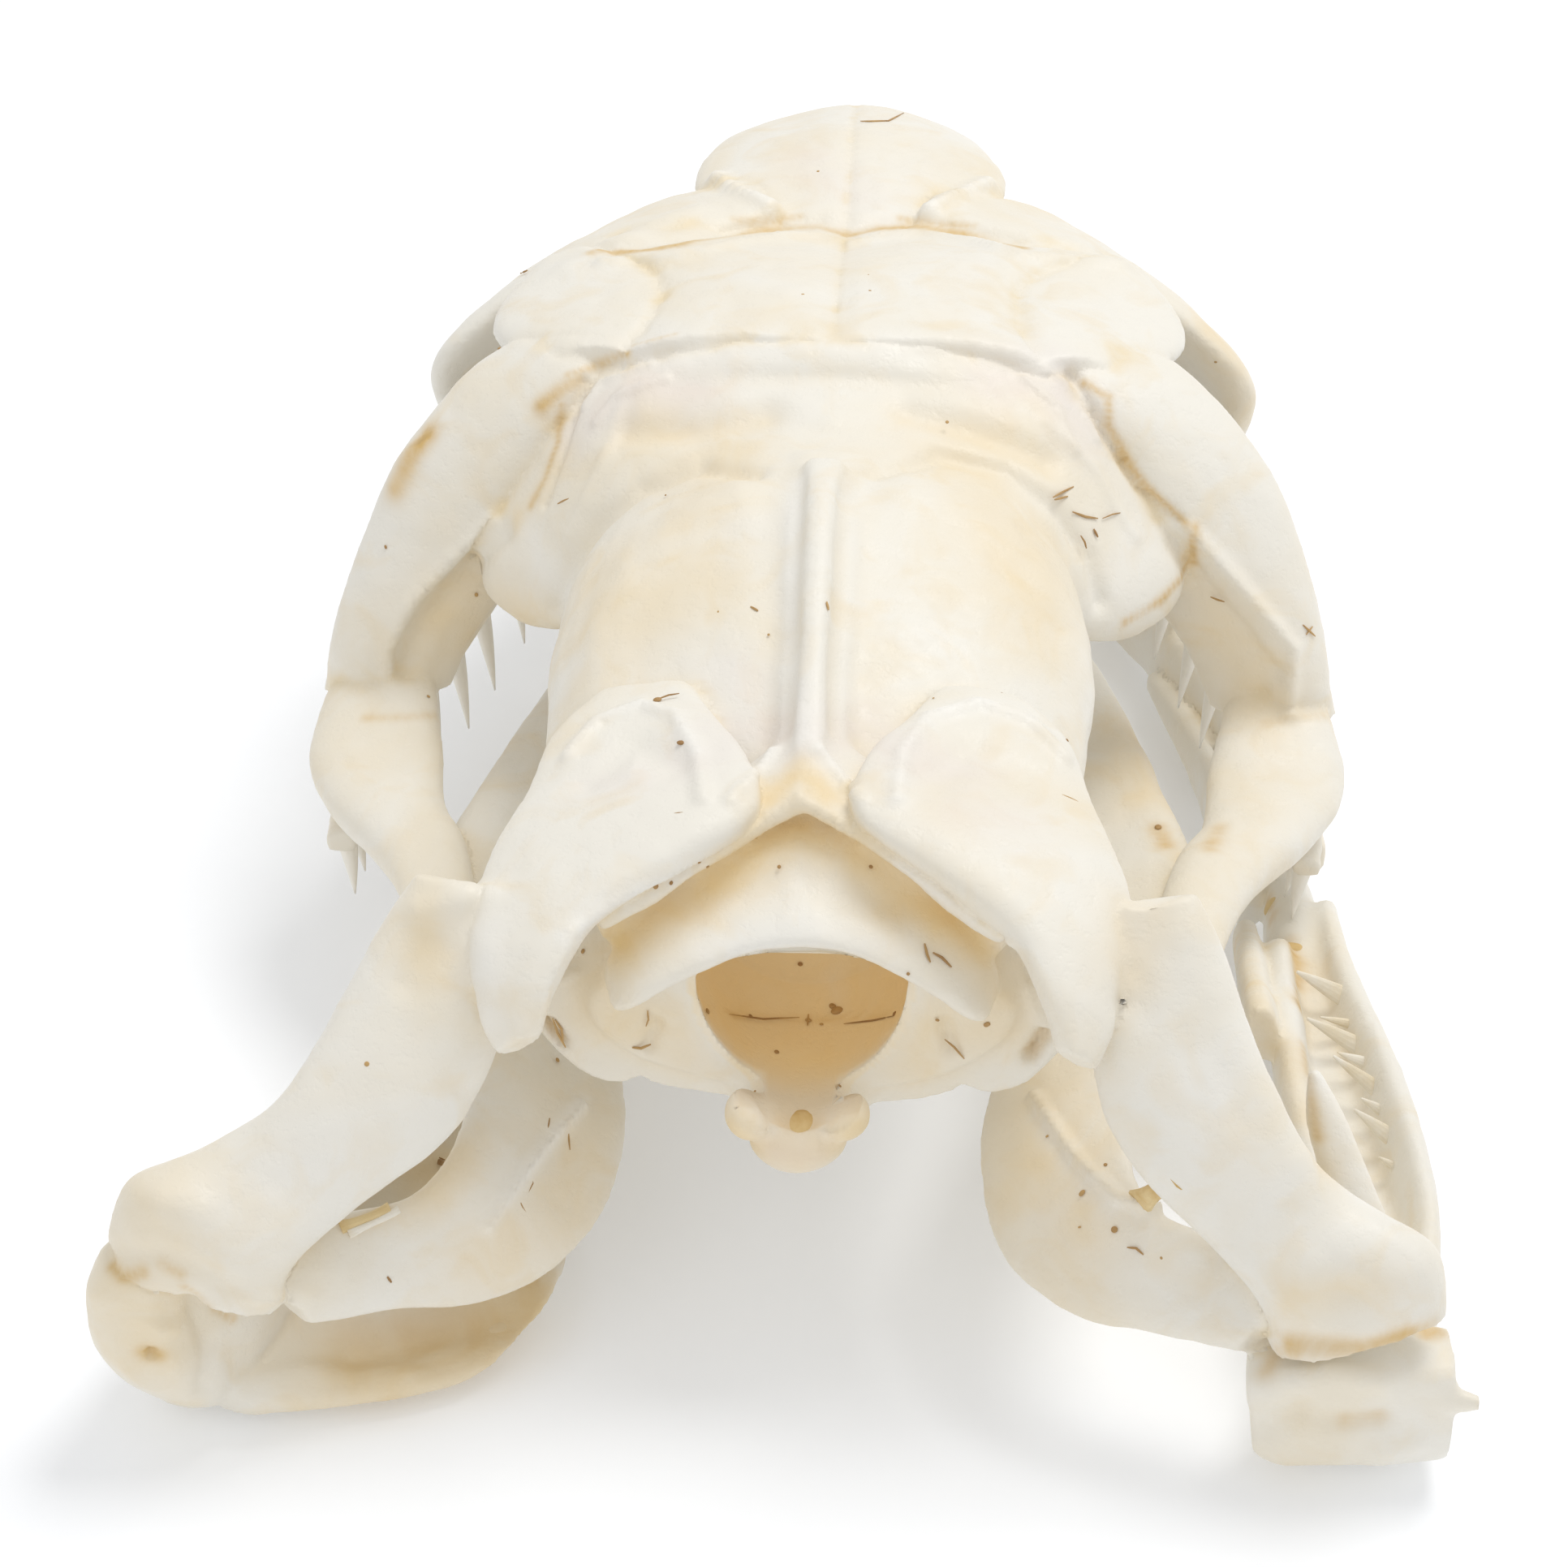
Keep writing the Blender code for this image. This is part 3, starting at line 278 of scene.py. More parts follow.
def lattice_noise(points, cell, seed):
    """Smooth noise from -1 to 1 with features the size of cell."""
    grid = points / cell + seed * 7.31
    base = np.floor(grid).astype(np.int64)
    part = grid - base
    part = part * part * (3 - 2 * part)
    total = np.zeros(len(points))
    for corner in range(8):
        pick = np.array([(corner >> axis) & 1 for axis in range(3)])
        key = base + pick
        mixed = (key[:, 0] * 73856093) ^ (key[:, 1] * 19349663) ^ (key[:, 2] * 83492791)
        mixed = (mixed & 0x7fffffff) * 1103515245 % 2147483647
        mixed = (mixed ^ (mixed >> 11)) * 69621 % 2147483647
        value = mixed / 1073741823.5 - 1
        total += value * np.prod(np.where(pick == 1, part, 1 - part), axis=1)
    return total


def paint(item, name, values):
    """Keep a number for each point of the mesh, for its material to read."""
    layer = item.data.attributes.new(name, "FLOAT", "POINT")
    layer.data.foreach_set("value", np.clip(values, 0, 1).astype(np.float32))


# The braincase in one skin, its bones long fused

def braincase_bodies():
    shell = vault((
        (0.9, 4.7, 10.9, 9.2, 6.9),
        (2.2, 5.4, 11.6, 9.5, 6.5),
        (4.2, 5.8, 12.5, 10.0, 6.2),
        (7.0, 6.1, 13.6, 10.6, 6.2),
        (10.5, 6.4, 14.6, 11.0, 6.6),
        (13.2, 6.2, 15.1, 11.4, 7.1),
        (15.6, 5.5, 15.0, 11.6, 7.5),
        (17.4, 5.0, 14.95, 12.0, 7.9),
        (19.9, 4.4, 15.2, 12.6, 9.0),
    ))
    crest_foot = sweep(level((
        (1.0, 3.9, 12.9, 0.8),
        (0.9, 5.2, 13.1, 0.8),
        (0.9, 8.6, 14.0, 0.8),
        (0.9, 12.0, 14.85, 0.7),
        (0.9, 14.8, 14.95, 0.5),
    )))
    crest = sweep(level((
        (0.44, 3.4, 13.15, 0.9),
        (0.40, 4.6, 13.45, 1.0),
        (0.36, 8.6, 14.45, 1.3),
        (0.38, 11.8, 15.25, 1.0),
        (0.5, 13.9, 15.2, 0.7),
    )), square=3.0)
    ridge = sweep(bridged((
        (0.0, 19.5, 15.35, 0.0, 17.9, 15.15, 0.9),
        (2.2, 19.5, 15.25, 2.0, 17.9, 15.05, 0.9),
        (4.2, 19.5, 14.95, 3.8, 17.8, 14.6, 0.9),
        (5.4, 19.4, 14.4, 4.6, 17.4, 13.9, 0.9),
    )))
    wing = sweep((
        (0.0, 19.4, 14.9, 0.0, 15.6, 14.6, 1.0),
        (3.0, 19.5, 14.9, 2.6, 15.4, 14.0, 1.2),
        (5.2, 19.5, 14.6, 4.4, 14.8, 13.0, 1.4),
        (6.6, 19.0, 13.3, 5.0, 14.2, 11.9, 1.4),
        (7.9, 18.4, 11.6, 5.6, 14.2, 10.8, 1.3),
        (8.7, 17.8, 10.4, 6.2, 14.8, 9.9, 1.2),
        (8.5, 17.3, 9.5, 7.0, 15.8, 9.3, 0.9),
    ))
    arm = sweep((
        (0.0, 6.2, 13.5, 0.0, 2.7, 13.5, 0.6),
        (1.5, 5.0, 12.9, 1.2, 2.3, 13.0, 0.6),
        (3.2, 3.4, 12.4, 2.9, 1.2, 12.2, 0.6),
        (4.6, 2.2, 11.9, 4.4, 0.4, 11.7, 0.6),
    ))
    web = sweep((
        (0.0, 6.0, 12.7, 0.0, 3.3, 12.7, 1.0),
        (1.5, 5.0, 12.3, 1.4, 2.9, 12.4, 1.0),
        (3.1, 3.6, 11.8, 3.0, 1.9, 11.7, 1.0),
        (4.6, 2.4, 11.2, 4.5, 1.1, 11.1, 1.0),
    ))
    apron = sweep((
        (-0.4, 0.5, 11.35, -0.4, 3.4, 12.7, 0.6),
        (1.0, 0.45, 11.2, 1.0, 3.1, 12.5, 0.6),
        (2.0, 0.2, 10.9, 2.1, 2.6, 12.0, 0.6),
        (3.0, 0.0, 10.45, 3.3, 2.0, 11.4, 0.6),
        (3.75, -0.1, 9.95, 4.1, 1.4, 10.6, 0.5),
        (4.0, 0.1, 9.7, 4.3, 1.0, 10.0, 0.4),
    ), square=3.4)
    flank = sweep((
        (5.6, 1.3, 9.6, 3.6, 1.2, 7.0, 2.2),
        (5.9, 3.0, 9.4, 3.4, 3.0, 6.8, 2.6),
        (5.5, 5.6, 9.2, 3.0, 5.6, 7.0, 2.0),
    ))
    base = sweep(level((
        (3.6, 1.2, 7.1, 1.4),
        (3.4, 3.5, 6.8, 1.6),
        (2.8, 7.0, 6.6, 1.4),
        (2.4, 10.0, 6.8, 1.4),
        (1.2, 14.0, 7.4, 1.4),
        (0.6, 20.0, 8.6, 1.2),
        (0.45, 26.5, 9.4, 0.9),
    )))
    neck = sweep(level((
        (1.1, 0.1, 6.7, 1.5),
        (1.8, 1.6, 6.7, 1.7),
        (2.4, 3.0, 6.9, 1.6),
    )))
    condyle = ball((0.0, -0.15, 6.6), (1.12, 0.95, 0.84))
    lobe = ball((1.0, -0.45, 7.42), (0.6, 0.62, 0.58))
    bodies = [shell, crest_foot, crest, ridge, base, neck, condyle]
    for half in (wing, arm, web, apron, flank, lobe):
        bodies.append(half)
        bodies.append(mirrored(half))
    return bodies


BRAIN_ROOM = (
    (-2.0, 2.3, 10.8, 10.1, 7.2),
    (0.8, 2.3, 10.8, 10.1, 7.15),
    (2.4, 2.6, 11.0, 10.0, 7.2),
    (3.3, 2.5, 10.9, 9.9, 7.3),
    (3.9, 2.1, 10.4, 9.6, 7.7),
)


# Bones of the right side

SUPRATEMPORAL = (
    (4.9, 7.5, 13.0, 2.8, 7.5, 13.5, 0.7),
    (5.9, 6.3, 12.7, 2.1, 6.1, 13.5, 1.0),
    (6.4, 4.4, 12.4, 1.2, 4.2, 13.7, 1.0),
    (6.9, 2.8, 12.2, 1.1, 2.4, 13.6, 1.1),
    (7.2, 1.4, 11.8, 2.7, 1.1, 13.1, 1.1),
    (7.2, 0.2, 11.2, 4.4, 0.0, 12.4, 1.1),
    (6.9, -0.7, 10.4, 5.2, -1.1, 11.6, 1.0),
    (6.4, -1.4, 9.6, 5.7, -1.8, 10.5, 0.8),
)

QUADRATE = (
    (8.6, 1.5, 12.3, 6.9, 1.2, 12.2, 0.9),
    (9.3, 0.7, 11.1, 6.3, 0.2, 10.6, 1.3),
    (10.2, -0.8, 9.4, 6.5, -0.7, 8.8, 1.4),
    (11.1, -1.9, 8.0, 7.2, -1.4, 7.3, 1.5),
    (12.4, -2.4, 7.0, 8.9, -2.2, 5.8, 1.8),
    (14.0, -3.0, 6.3, 10.2, -3.1, 4.7, 2.3),
    (14.4, -3.1, 4.7, 10.5, -3.4, 3.6, 2.2),
)

PTERYGOID = (
    (5.4, 24.0, 5.0, 4.2, 23.8, 4.9, 0.9),
    (6.9, 20.6, 5.0, 5.2, 20.0, 4.7, 1.1),
    (8.3, 15.6, 5.2, 6.0, 14.8, 4.6, 1.1),
    (9.2, 11.4, 5.3, 5.6, 11.0, 4.4, 1.0),
    (8.6, 7.5, 5.6, 4.7, 6.5, 4.1, 0.9),
    (7.6, 3.8, 6.1, 4.1, 3.2, 4.0, 0.9),
    (7.45, 1.4, 5.9, 4.2, 0.9, 3.5, 0.8),
    (7.6, -0.3, 5.6, 4.9, -0.7, 3.1, 0.8),
    (8.4, -1.15, 5.2, 6.4, -1.9, 2.9, 0.9),
    (10.0, -1.6, 5.1, 8.0, -2.5, 3.1, 1.0),
    (11.6, -2.75, 4.9, 9.9, -3.4, 3.4, 1.2),
)

ECTOPTERYGOID = (
    (12.6, 16.9, 6.5, 9.9, 17.2, 6.6, 1.2),
    (12.95, 15.0, 5.6, 9.5, 14.9, 6.0, 1.3),
    (12.2, 13.0, 5.5, 9.3, 12.9, 5.8, 1.3),
    (10.9, 11.1, 5.5, 8.7, 11.5, 5.9, 1.3),
    (10.1, 9.4, 5.7, 8.3, 9.9, 5.9, 1.2),
    (9.6, 7.6, 5.8, 7.9, 7.9, 5.8, 0.9),
)

POSTORBITAL = (
    (8.3, 21.2, 13.9, 5.6, 19.8, 15.0, 0.9),
    (9.6, 20.4, 13.1, 6.1, 18.6, 14.3, 1.1),
    (11.0, 19.3, 11.6, 7.4, 18.0, 12.5, 1.3),
    (12.0, 18.2, 9.4, 9.0, 17.4, 10.3, 1.3),
    (12.5, 17.5, 7.4, 10.8, 16.7, 7.8, 1.3),
    (12.8, 17.2, 6.2, 10.6, 17.0, 6.4, 1.1),
)

POSTORBITAL_FLANGE = (
    (9.0, 18.4, 11.8, 7.9, 18.9, 11.3, 0.8),
    (10.2, 17.5, 9.6, 7.9, 18.3, 9.3, 0.9),
    (11.2, 16.9, 8.0, 9.0, 18.0, 7.6, 1.0),
    (11.0, 17.1, 6.4, 9.6, 17.6, 6.2, 0.9),
)

PREFRONTAL = (
    (1.6, 26.9, 14.3, 2.4, 29.0, 14.2, 0.9),
    (4.0, 26.1, 14.4, 4.9, 30.0, 13.0, 1.1),
    (6.7, 25.4, 14.1, 7.0, 29.8, 11.6, 1.2),
    (8.9, 24.6, 13.0, 8.6, 28.8, 10.2, 1.2),
    (10.4, 24.2, 11.5, 9.4, 27.6, 9.0, 1.1),
    (10.1, 24.7, 9.4, 9.2, 26.8, 7.9, 0.9),
)

FRONTAL_ROOF = (
    (5.2, 18.8, 15.1, -0.4, 18.8, 15.4, 1.4),
    (4.6, 21.6, 14.9, -0.4, 21.8, 15.2, 1.4),
    (5.0, 23.6, 14.7, -0.4, 24.0, 14.7, 1.3),
    (6.6, 25.2, 14.3, -0.4, 25.6, 14.1, 1.2),
    (6.2, 26.2, 14.1, -0.4, 26.8, 13.8, 1.0),
)

FRONTAL_WALL = (
    (3.9, 18.8, 12.8, -0.6, 18.8, 12.4, 4.6),
    (3.6, 22.5, 12.8, -0.6, 22.5, 12.6, 3.6),
    (3.4, 26.0, 12.6, -0.6, 26.0, 12.4, 2.8),
)

SUPRAORBITAL = (
    (7.8, 25.2, 13.9, 6.2, 25.4, 14.3, 0.9),
    (8.7, 23.2, 13.7, 4.4, 22.8, 14.9, 1.0),
    (8.4, 21.4, 13.9, 4.4, 20.6, 15.2, 1.0),
    (6.7, 19.5, 14.6, 5.0, 18.9, 15.1, 0.9),
)

NASAL = (
    (2.8, 26.8, 14.0, -0.4, 26.2, 14.0, 0.9),
    (4.0, 29.6, 13.7, -0.4, 29.2, 14.4, 1.1),
    (4.0, 32.0, 13.2, -0.4, 32.2, 14.2, 1.1),
    (3.4, 34.3, 12.6, -0.4, 34.6, 13.6, 1.0),
    (2.3, 36.0, 11.9, -0.4, 36.4, 12.5, 0.9),
)

NASAL_SEPTUM = (
    (0.3, 28.0, 13.6, 0.3, 28.0, 11.2, 1.2),
    (0.3, 31.5, 13.6, 0.3, 31.5, 10.6, 1.2),
    (0.3, 35.0, 12.8, 0.3, 35.0, 10.4, 1.2),
)

MAXILLA = (
    (2.2, 36.9, 7.9, 2.2, 36.9, 6.0, 1.2),
    (4.9, 34.2, 9.8, 4.7, 34.3, 5.4, 1.4),
    (7.0, 30.8, 10.4, 6.8, 31.0, 4.8, 1.5),
    (8.9, 26.8, 8.6, 8.5, 26.8, 4.5, 1.6),
    (10.2, 22.4, 6.6, 9.8, 22.4, 4.4, 1.5),
    (11.3, 18.6, 5.4, 11.0, 18.6, 4.2, 1.2),
    (12.0, 15.8, 4.6, 11.8, 15.8, 3.9, 1.0),
    (12.1, 13.4, 4.5, 11.9, 13.4, 3.9, 0.8),
)

PALATINE = (
    (4.0, 33.0, 5.8, 3.2, 33.0, 5.7, 1.0),
    (4.6, 30.0, 5.7, 3.4, 30.0, 5.5, 1.3),
    (5.0, 27.0, 5.5, 3.8, 27.0, 5.3, 1.2),
    (5.2, 24.2, 5.2, 4.2, 24.2, 5.1, 1.0),
)

PALATINE_MAXILLARY_ARM = (
    (4.4, 30.2, 5.8, 4.4, 28.2, 5.7, 0.9),
    (6.6, 30.0, 6.2, 6.5, 28.8, 6.2, 0.8),
)

PALATINE_CHOANAL_ARM = (
    (3.9, 29.6, 5.8, 4.0, 27.4, 5.6, 0.9),
    (2.6, 29.4, 6.6, 2.7, 27.6, 6.4, 0.8),
    (1.6, 29.0, 7.4, 1.6, 27.8, 7.2, 0.7),
)

VOMER = (
    (1.9, 35.6, 7.4, -0.3, 35.6, 7.4, 1.0),
    (2.4, 32.0, 7.9, -0.3, 32.0, 7.9, 1.8),
    (1.7, 28.4, 7.9, -0.3, 28.4, 7.9, 1.0),
)

SEPTOMAXILLA = (
    (1.8, 35.2, 9.2, -0.3, 35.2, 9.6, 2.0),
    (3.4, 33.0, 9.6, -0.3, 33.0, 10.0, 2.6),
    (3.0, 30.2, 10.0, -0.3, 30.2, 10.4, 1.8),
)

PREMAXILLA_STEM = (
    (-0.5, 36.5, 12.2, 0.5, 36.5, 12.2, 0.8),
    (-0.6, 37.5, 10.4, 0.6, 37.5, 10.4, 1.0),
    (-1.3, 37.9, 7.6, 1.3, 37.9, 7.6, 1.6),
)

PREMAXILLA_GUM = (
    (-2.3, 36.9, 7.6, -2.3, 36.9, 6.2, 1.1),
    (0.0, 38.0, 7.8, 0.0, 38.0, 6.2, 1.3),
    (2.3, 36.9, 7.6, 2.3, 36.9, 6.2, 1.1),
)

# Lower jaw, in its own frame: X outwards, Y ahead of the joint, Z up from its lower edge

COMPOUND_BODY = (
    (1.7, -0.9, 2.0, -1.9, -0.9, 1.9, 2.4),
    (2.1, 0.2, 1.8, -2.2, 0.2, 1.8, 3.2),
    (2.0, 1.8, 1.8, -1.7, 1.8, 1.8, 3.1),
    (1.9, 6.0, 1.3, -0.9, 6.0, 1.3, 2.5),
    (1.4, 11.0, 1.4, -0.7, 11.0, 1.4, 2.6),
    (0.9, 16.0, 1.6, -0.8, 16.0, 1.6, 2.6),
    (0.4, 20.0, 1.6, -0.4, 20.0, 1.6, 1.6),
)

# Joint ends: the right one is a squared block with a hook, the left one a rounded knob

RIGHT_JAW_END = (
    (-2.45, -1.1, 2.0, -2.35, 0.4, 2.0, 2.3),
    (-1.6, -1.4, 2.1, -1.6, 0.8, 2.1, 2.8),
    (0.6, -1.4, 2.2, 0.6, 0.8, 2.2, 3.0),
    (2.0, -1.3, 2.2, 2.0, 0.6, 2.2, 2.8),
)

RIGHT_JAW_HOOK = (
    (1.3, -1.3, 2.6, 1.3, -0.4, 2.6, 1.0),
    (2.1, -1.45, 2.8, 2.1, -0.9, 2.75, 0.65),
    (2.62, -1.6, 2.95, 2.62, -1.3, 2.92, 0.4),
)

LEFT_JAW_END = (
    (-1.7, -0.9, 1.9, -1.7, 0.9, 1.9, 2.2),
    (-0.7, -2.0, 1.9, -0.7, 0.8, 1.9, 2.6),
    (0.9, -2.65, 1.75, 0.9, 0.6, 1.75, 2.5),
    (2.2, -2.6, 1.7, 2.2, 0.4, 1.7, 2.1),
    (2.9, -2.1, 1.6, 2.9, 0.0, 1.6, 1.5),
)

COMPOUND_INNER_CREST = (
    (-1.7, -0.4, 3.7, -1.4, -0.5, 1.8, 0.9),
    (-1.8, 1.0, 5.6, -1.2, 0.9, 1.8, 0.8),
    (-1.8, 2.7, 7.4, -1.0, 2.6, 1.8, 0.8),
    (-1.5, 4.3, 8.0, -0.9, 4.6, 1.8, 0.8),
    (-1.4, 6.2, 7.8, -0.8, 6.6, 1.8, 0.8),
    (-1.6, 8.4, 6.9, -0.7, 8.8, 1.8, 0.8),
    (-1.2, 11.6, 4.9, -0.7, 11.6, 1.8, 0.8),
    (-0.8, 15.0, 3.2, -0.7, 15.0, 1.8, 0.7),
)

# The right crest is broken low, and a spike of it stands behind

COMPOUND_LOW_CREST = (
    (-0.3, 2.6, 3.9, -0.2, 2.6, 1.8, 1.0),
    (-0.6, 5.0, 4.2, -0.5, 5.0, 1.8, 1.0),
    (-0.8, 8.4, 4.3, -0.6, 8.4, 1.8, 0.9),
    (-0.8, 11.6, 4.2, -0.5, 11.6, 1.8, 0.8),
    (-0.6, 15.0, 3.2, -0.5, 15.0, 1.8, 0.7),
)

COMPOUND_SPIKE = (
    (-0.6, 2.5, 3.0, 1.05, 2.5, 3.0, 1.0),
    (-0.6, 2.8, 4.1, 0.95, 2.7, 4.1, 0.9),
    (-0.85, 3.5, 5.3, 0.45, 3.4, 5.35, 0.8),
    (-1.1, 4.2, 6.3, -0.15, 4.2, 6.5, 0.7),
    (-1.05, 4.85, 7.2, -0.75, 4.9, 7.3, 0.5),
)

COMPOUND_OUTER_CREST = (
    (1.5, 1.4, 3.3, 1.3, 1.4, 1.6, 0.8),
    (2.0, 4.5, 3.8, 1.6, 4.5, 1.4, 0.8),
    (1.6, 9.0, 4.0, 1.3, 9.0, 1.4, 0.8),
    (0.9, 13.5, 3.6, 0.8, 13.5, 1.4, 0.8),
    (0.8, 17.0, 2.9, 0.7, 17.0, 1.4, 0.7),
)

# The coronoid lies on the inner side of its compound's crest

RIGHT_CORONOID = (
    (-1.6, 9.6, 5.2, -1.3, 9.6, 3.6, 0.7),
    (-1.5, 12.6, 4.3, -1.3, 12.6, 2.4, 0.8),
    (-1.3, 16.0, 3.0, -1.3, 16.0, 1.7, 0.7),
)

LEFT_CORONOID = (
    (-2.2, 9.6, 5.6, -1.9, 9.6, 3.6, 0.7),
    (-1.8, 12.6, 4.3, -1.6, 12.6, 2.4, 0.8),
    (-1.3, 16.0, 3.0, -1.3, 16.0, 1.7, 0.7),
)

# The dentary's frame starts at the hinge between the two halves of the jaw

DENTARY = (
    (0.75, 0.6, 2.5, 0.7, 0.6, 1.5, 0.7),
    (1.0, 2.8, 2.8, 0.95, 2.8, 1.0, 0.9),
    (1.0, 6.0, 2.8, 0.9, 6.0, 0.4, 1.3),
    (0.6, 11.0, 2.7, 0.5, 11.0, 0.3, 1.4),
    (-0.3, 17.0, 2.5, -0.4, 17.0, 0.3, 1.4),
    (-1.6, 21.2, 2.3, -1.6, 21.2, 0.6, 1.2),
)

SPLENIAL = (
    (-1.4, -0.5, 2.6, -1.5, -0.5, 0.8, 0.6),
    (-0.9, 2.0, 2.4, -1.0, 2.0, 0.4, 0.7),
    (-0.3, 6.0, 2.0, -0.4, 6.0, 0.5, 0.7),
    (-0.2, 10.5, 1.5, -0.2, 10.5, 0.8, 0.6),
)


def turn_about(pivot, axis, degrees):
    shift = Matrix.Translation(pivot)
    return shift @ Matrix.Rotation(math.radians(degrees), 4, axis) @ shift.inverted()


def jaw_place(joint, yaw, roll=0.0, pitch=0.0):
    """Matrix from a jaw half's own frame to the skull's, turned about its knob at the joint."""
    turn = Matrix.Rotation(math.radians(yaw), 4, "Z")
    nod = Matrix.Rotation(math.radians(pitch), 4, "X")
    twist = Matrix.Rotation(math.radians(roll), 4, "Y")
    knob = Matrix.Translation((0, 0, -JAW_KNOB_HEIGHT))
    return Matrix.Translation(joint) @ turn @ nod @ twist @ knob


RIGHT_COMPOUND = jaw_place(RIGHT_JAW_JOINT, 2.7)
RIGHT_DENTARY = jaw_place(RIGHT_JAW_HINGE, 18.0)
LEFT_COMPOUND = jaw_place(LEFT_JAW_JOINT, -25.0, 87.0, -3.4)
LEFT_DENTARY = jaw_place(LEFT_JAW_HINGE, -10.0, 88.0, 2.9)


# Camera of the photograph, and the points of the skull that it sees

PHOTO_WIDTH = 1932.0          # pixels
FOCAL_PIXELS = 6050.0
SENSOR = 36.0
CAMERA_PLACE = Vector((3.53, -84.19, 77.21))
CAMERA_TILT = 54.055
CAMERA_YAW = 2.634
CAMERA_TURN = (Matrix.Rotation(math.radians(CAMERA_YAW), 3, "Z")
               @ Matrix.Rotation(math.radians(CAMERA_TILT), 3, "X"))


def tree_of(points, faces):
    return BVHTree.FromPolygons([Vector(p) for p in points], faces)


def faces_of(mesh):
    return [tuple(polygon.vertices) for polygon in mesh.polygons]


class Eye:
    """Looks from the camera at the skull's skin."""

    def __init__(self, mesh):
        self.tree = tree_of(read_points(mesh), faces_of(mesh))

    def aim(self, x, y):
        """Point and normal seen at a pixel of the photograph."""
        half = PHOTO_WIDTH / 2
        ray = CAMERA_TURN @ Vector(((x - half) / FOCAL_PIXELS, (half - y) / FOCAL_PIXELS, -1.0))
        point, normal, _, _ = self.tree.ray_cast(CAMERA_PLACE, ray.normalized())
        return None if point is None else (point, normal)

    def trace(self, pixels, step=8.0):
        """Points seen along a line of pixels."""
        found = []
        pairs = list(zip(pixels, pixels[1:])) or [(pixels[0], pixels[0])]
        for (ax, ay), (bx, by) in pairs:
            count = max(1, round(math.hypot(bx - ax, by - ay) / step))
            for number in range(count + 1):
                share = number / count
                seen = self.aim(ax + (bx - ax) * share, ay + (by - ay) * share)
                if seen:
                    found.append(tuple(seen[0]))
        return np.array(found).reshape(-1, 3)


def near_box(points, cloud, reach):
    """Which points lie within reach of the box round a cloud."""
    low = cloud.min(axis=0) - reach
    high = cloud.max(axis=0) + reach
    return np.all((points > low) & (points < high), axis=1)


def cloud_distance(points, cloud, reach):
    """Distance of every point from the nearest one of a cloud, as far as reach."""
    best = np.full(len(points), 1e3)
    if len(cloud) == 0:
        return best
    picked = np.flatnonzero(near_box(points, cloud, reach))
    for start in range(0, len(picked), 20000):
        part = picked[start:start + 20000]
        gaps = points[part][:, None, :] - cloud[None, :, :]
        best[part] = np.sqrt((gaps ** 2).sum(axis=2).min(axis=1))
    return best


def bell(points, cloud, width, height):
    """One mark with soft edges."""
    gap = cloud_distance(points, cloud, 3 * width)
    return height * np.exp(-(gap / width) ** 2)


def strongest_mark(points, marks):
    """At each point the strongest of the marks."""
    total = np.zeros(len(points))
    for mark in marks:
        total = np.maximum(total, bell(points, *mark))
    return total


# Making the bones

def placed(bodies, matrix):
    return [([matrix @ Vector(p) for p in points], faces) for points, faces in bodies]


def left_bodies(name, bodies):
    """Bodies of a right bone turned into its twin; the left quadrate leans further out."""
    if name == "quadrate":
        bodies = placed(bodies, turn_about(QUADRATE_HEAD, "Y", -QUADRATE_SPLAY_LEFT))
    if name == "pterygoid":
        for points, faces in bodies:
            for point in points:
                point.x += PTERYGOID_BEND_LEFT * max(0.0, PTERYGOID_BEND_FROM - point.y) ** 2
    return [mirrored(body) for body in bodies]


PAIRED = {
    "supratemporal": [SUPRATEMPORAL],
    "quadrate": [QUADRATE],
    "prefrontal": [PREFRONTAL],
    "supraorbital": [SUPRAORBITAL],
    "postorbital": [POSTORBITAL, POSTORBITAL_FLANGE],
    "maxilla": [MAXILLA],
    "pterygoid": [PTERYGOID],
    "ectopterygoid": [ECTOPTERYGOID],
    "palatine": [PALATINE, PALATINE_MAXILLARY_ARM, PALATINE_CHOANAL_ARM],
}
MEETING = {
    "frontal": [FRONTAL_ROOF, FRONTAL_WALL],
    "nasal": [NASAL, NASAL_SEPTUM],
    "vomer": [VOMER],
    "septomaxilla": [SEPTOMAXILLA],
}
JAW = {
    "compound": ([COMPOUND_BODY, COMPOUND_OUTER_CREST], 0),
    "coronoid": ([], 0),
    "dentary": ([DENTARY], 1),
    "splenial": ([SPLENIAL], 1),
}
JAW_OWN = {
    "right": {
        "compound": [(RIGHT_JAW_END, 5.0), (RIGHT_JAW_HOOK, 2.4),
                     (COMPOUND_LOW_CREST, 2.4), (COMPOUND_SPIKE, 2.4)],
        "coronoid": [(RIGHT_CORONOID, 2.4)],
    },
    "left": {
        "compound": [(LEFT_JAW_END, 2.6), (COMPOUND_INNER_CREST, 2.4)],
        "coronoid": [(LEFT_CORONOID, 2.4)],
    },
}
JAW_PLACES = {"right": (RIGHT_COMPOUND, RIGHT_DENTARY), "left": (LEFT_COMPOUND, LEFT_DENTARY)}


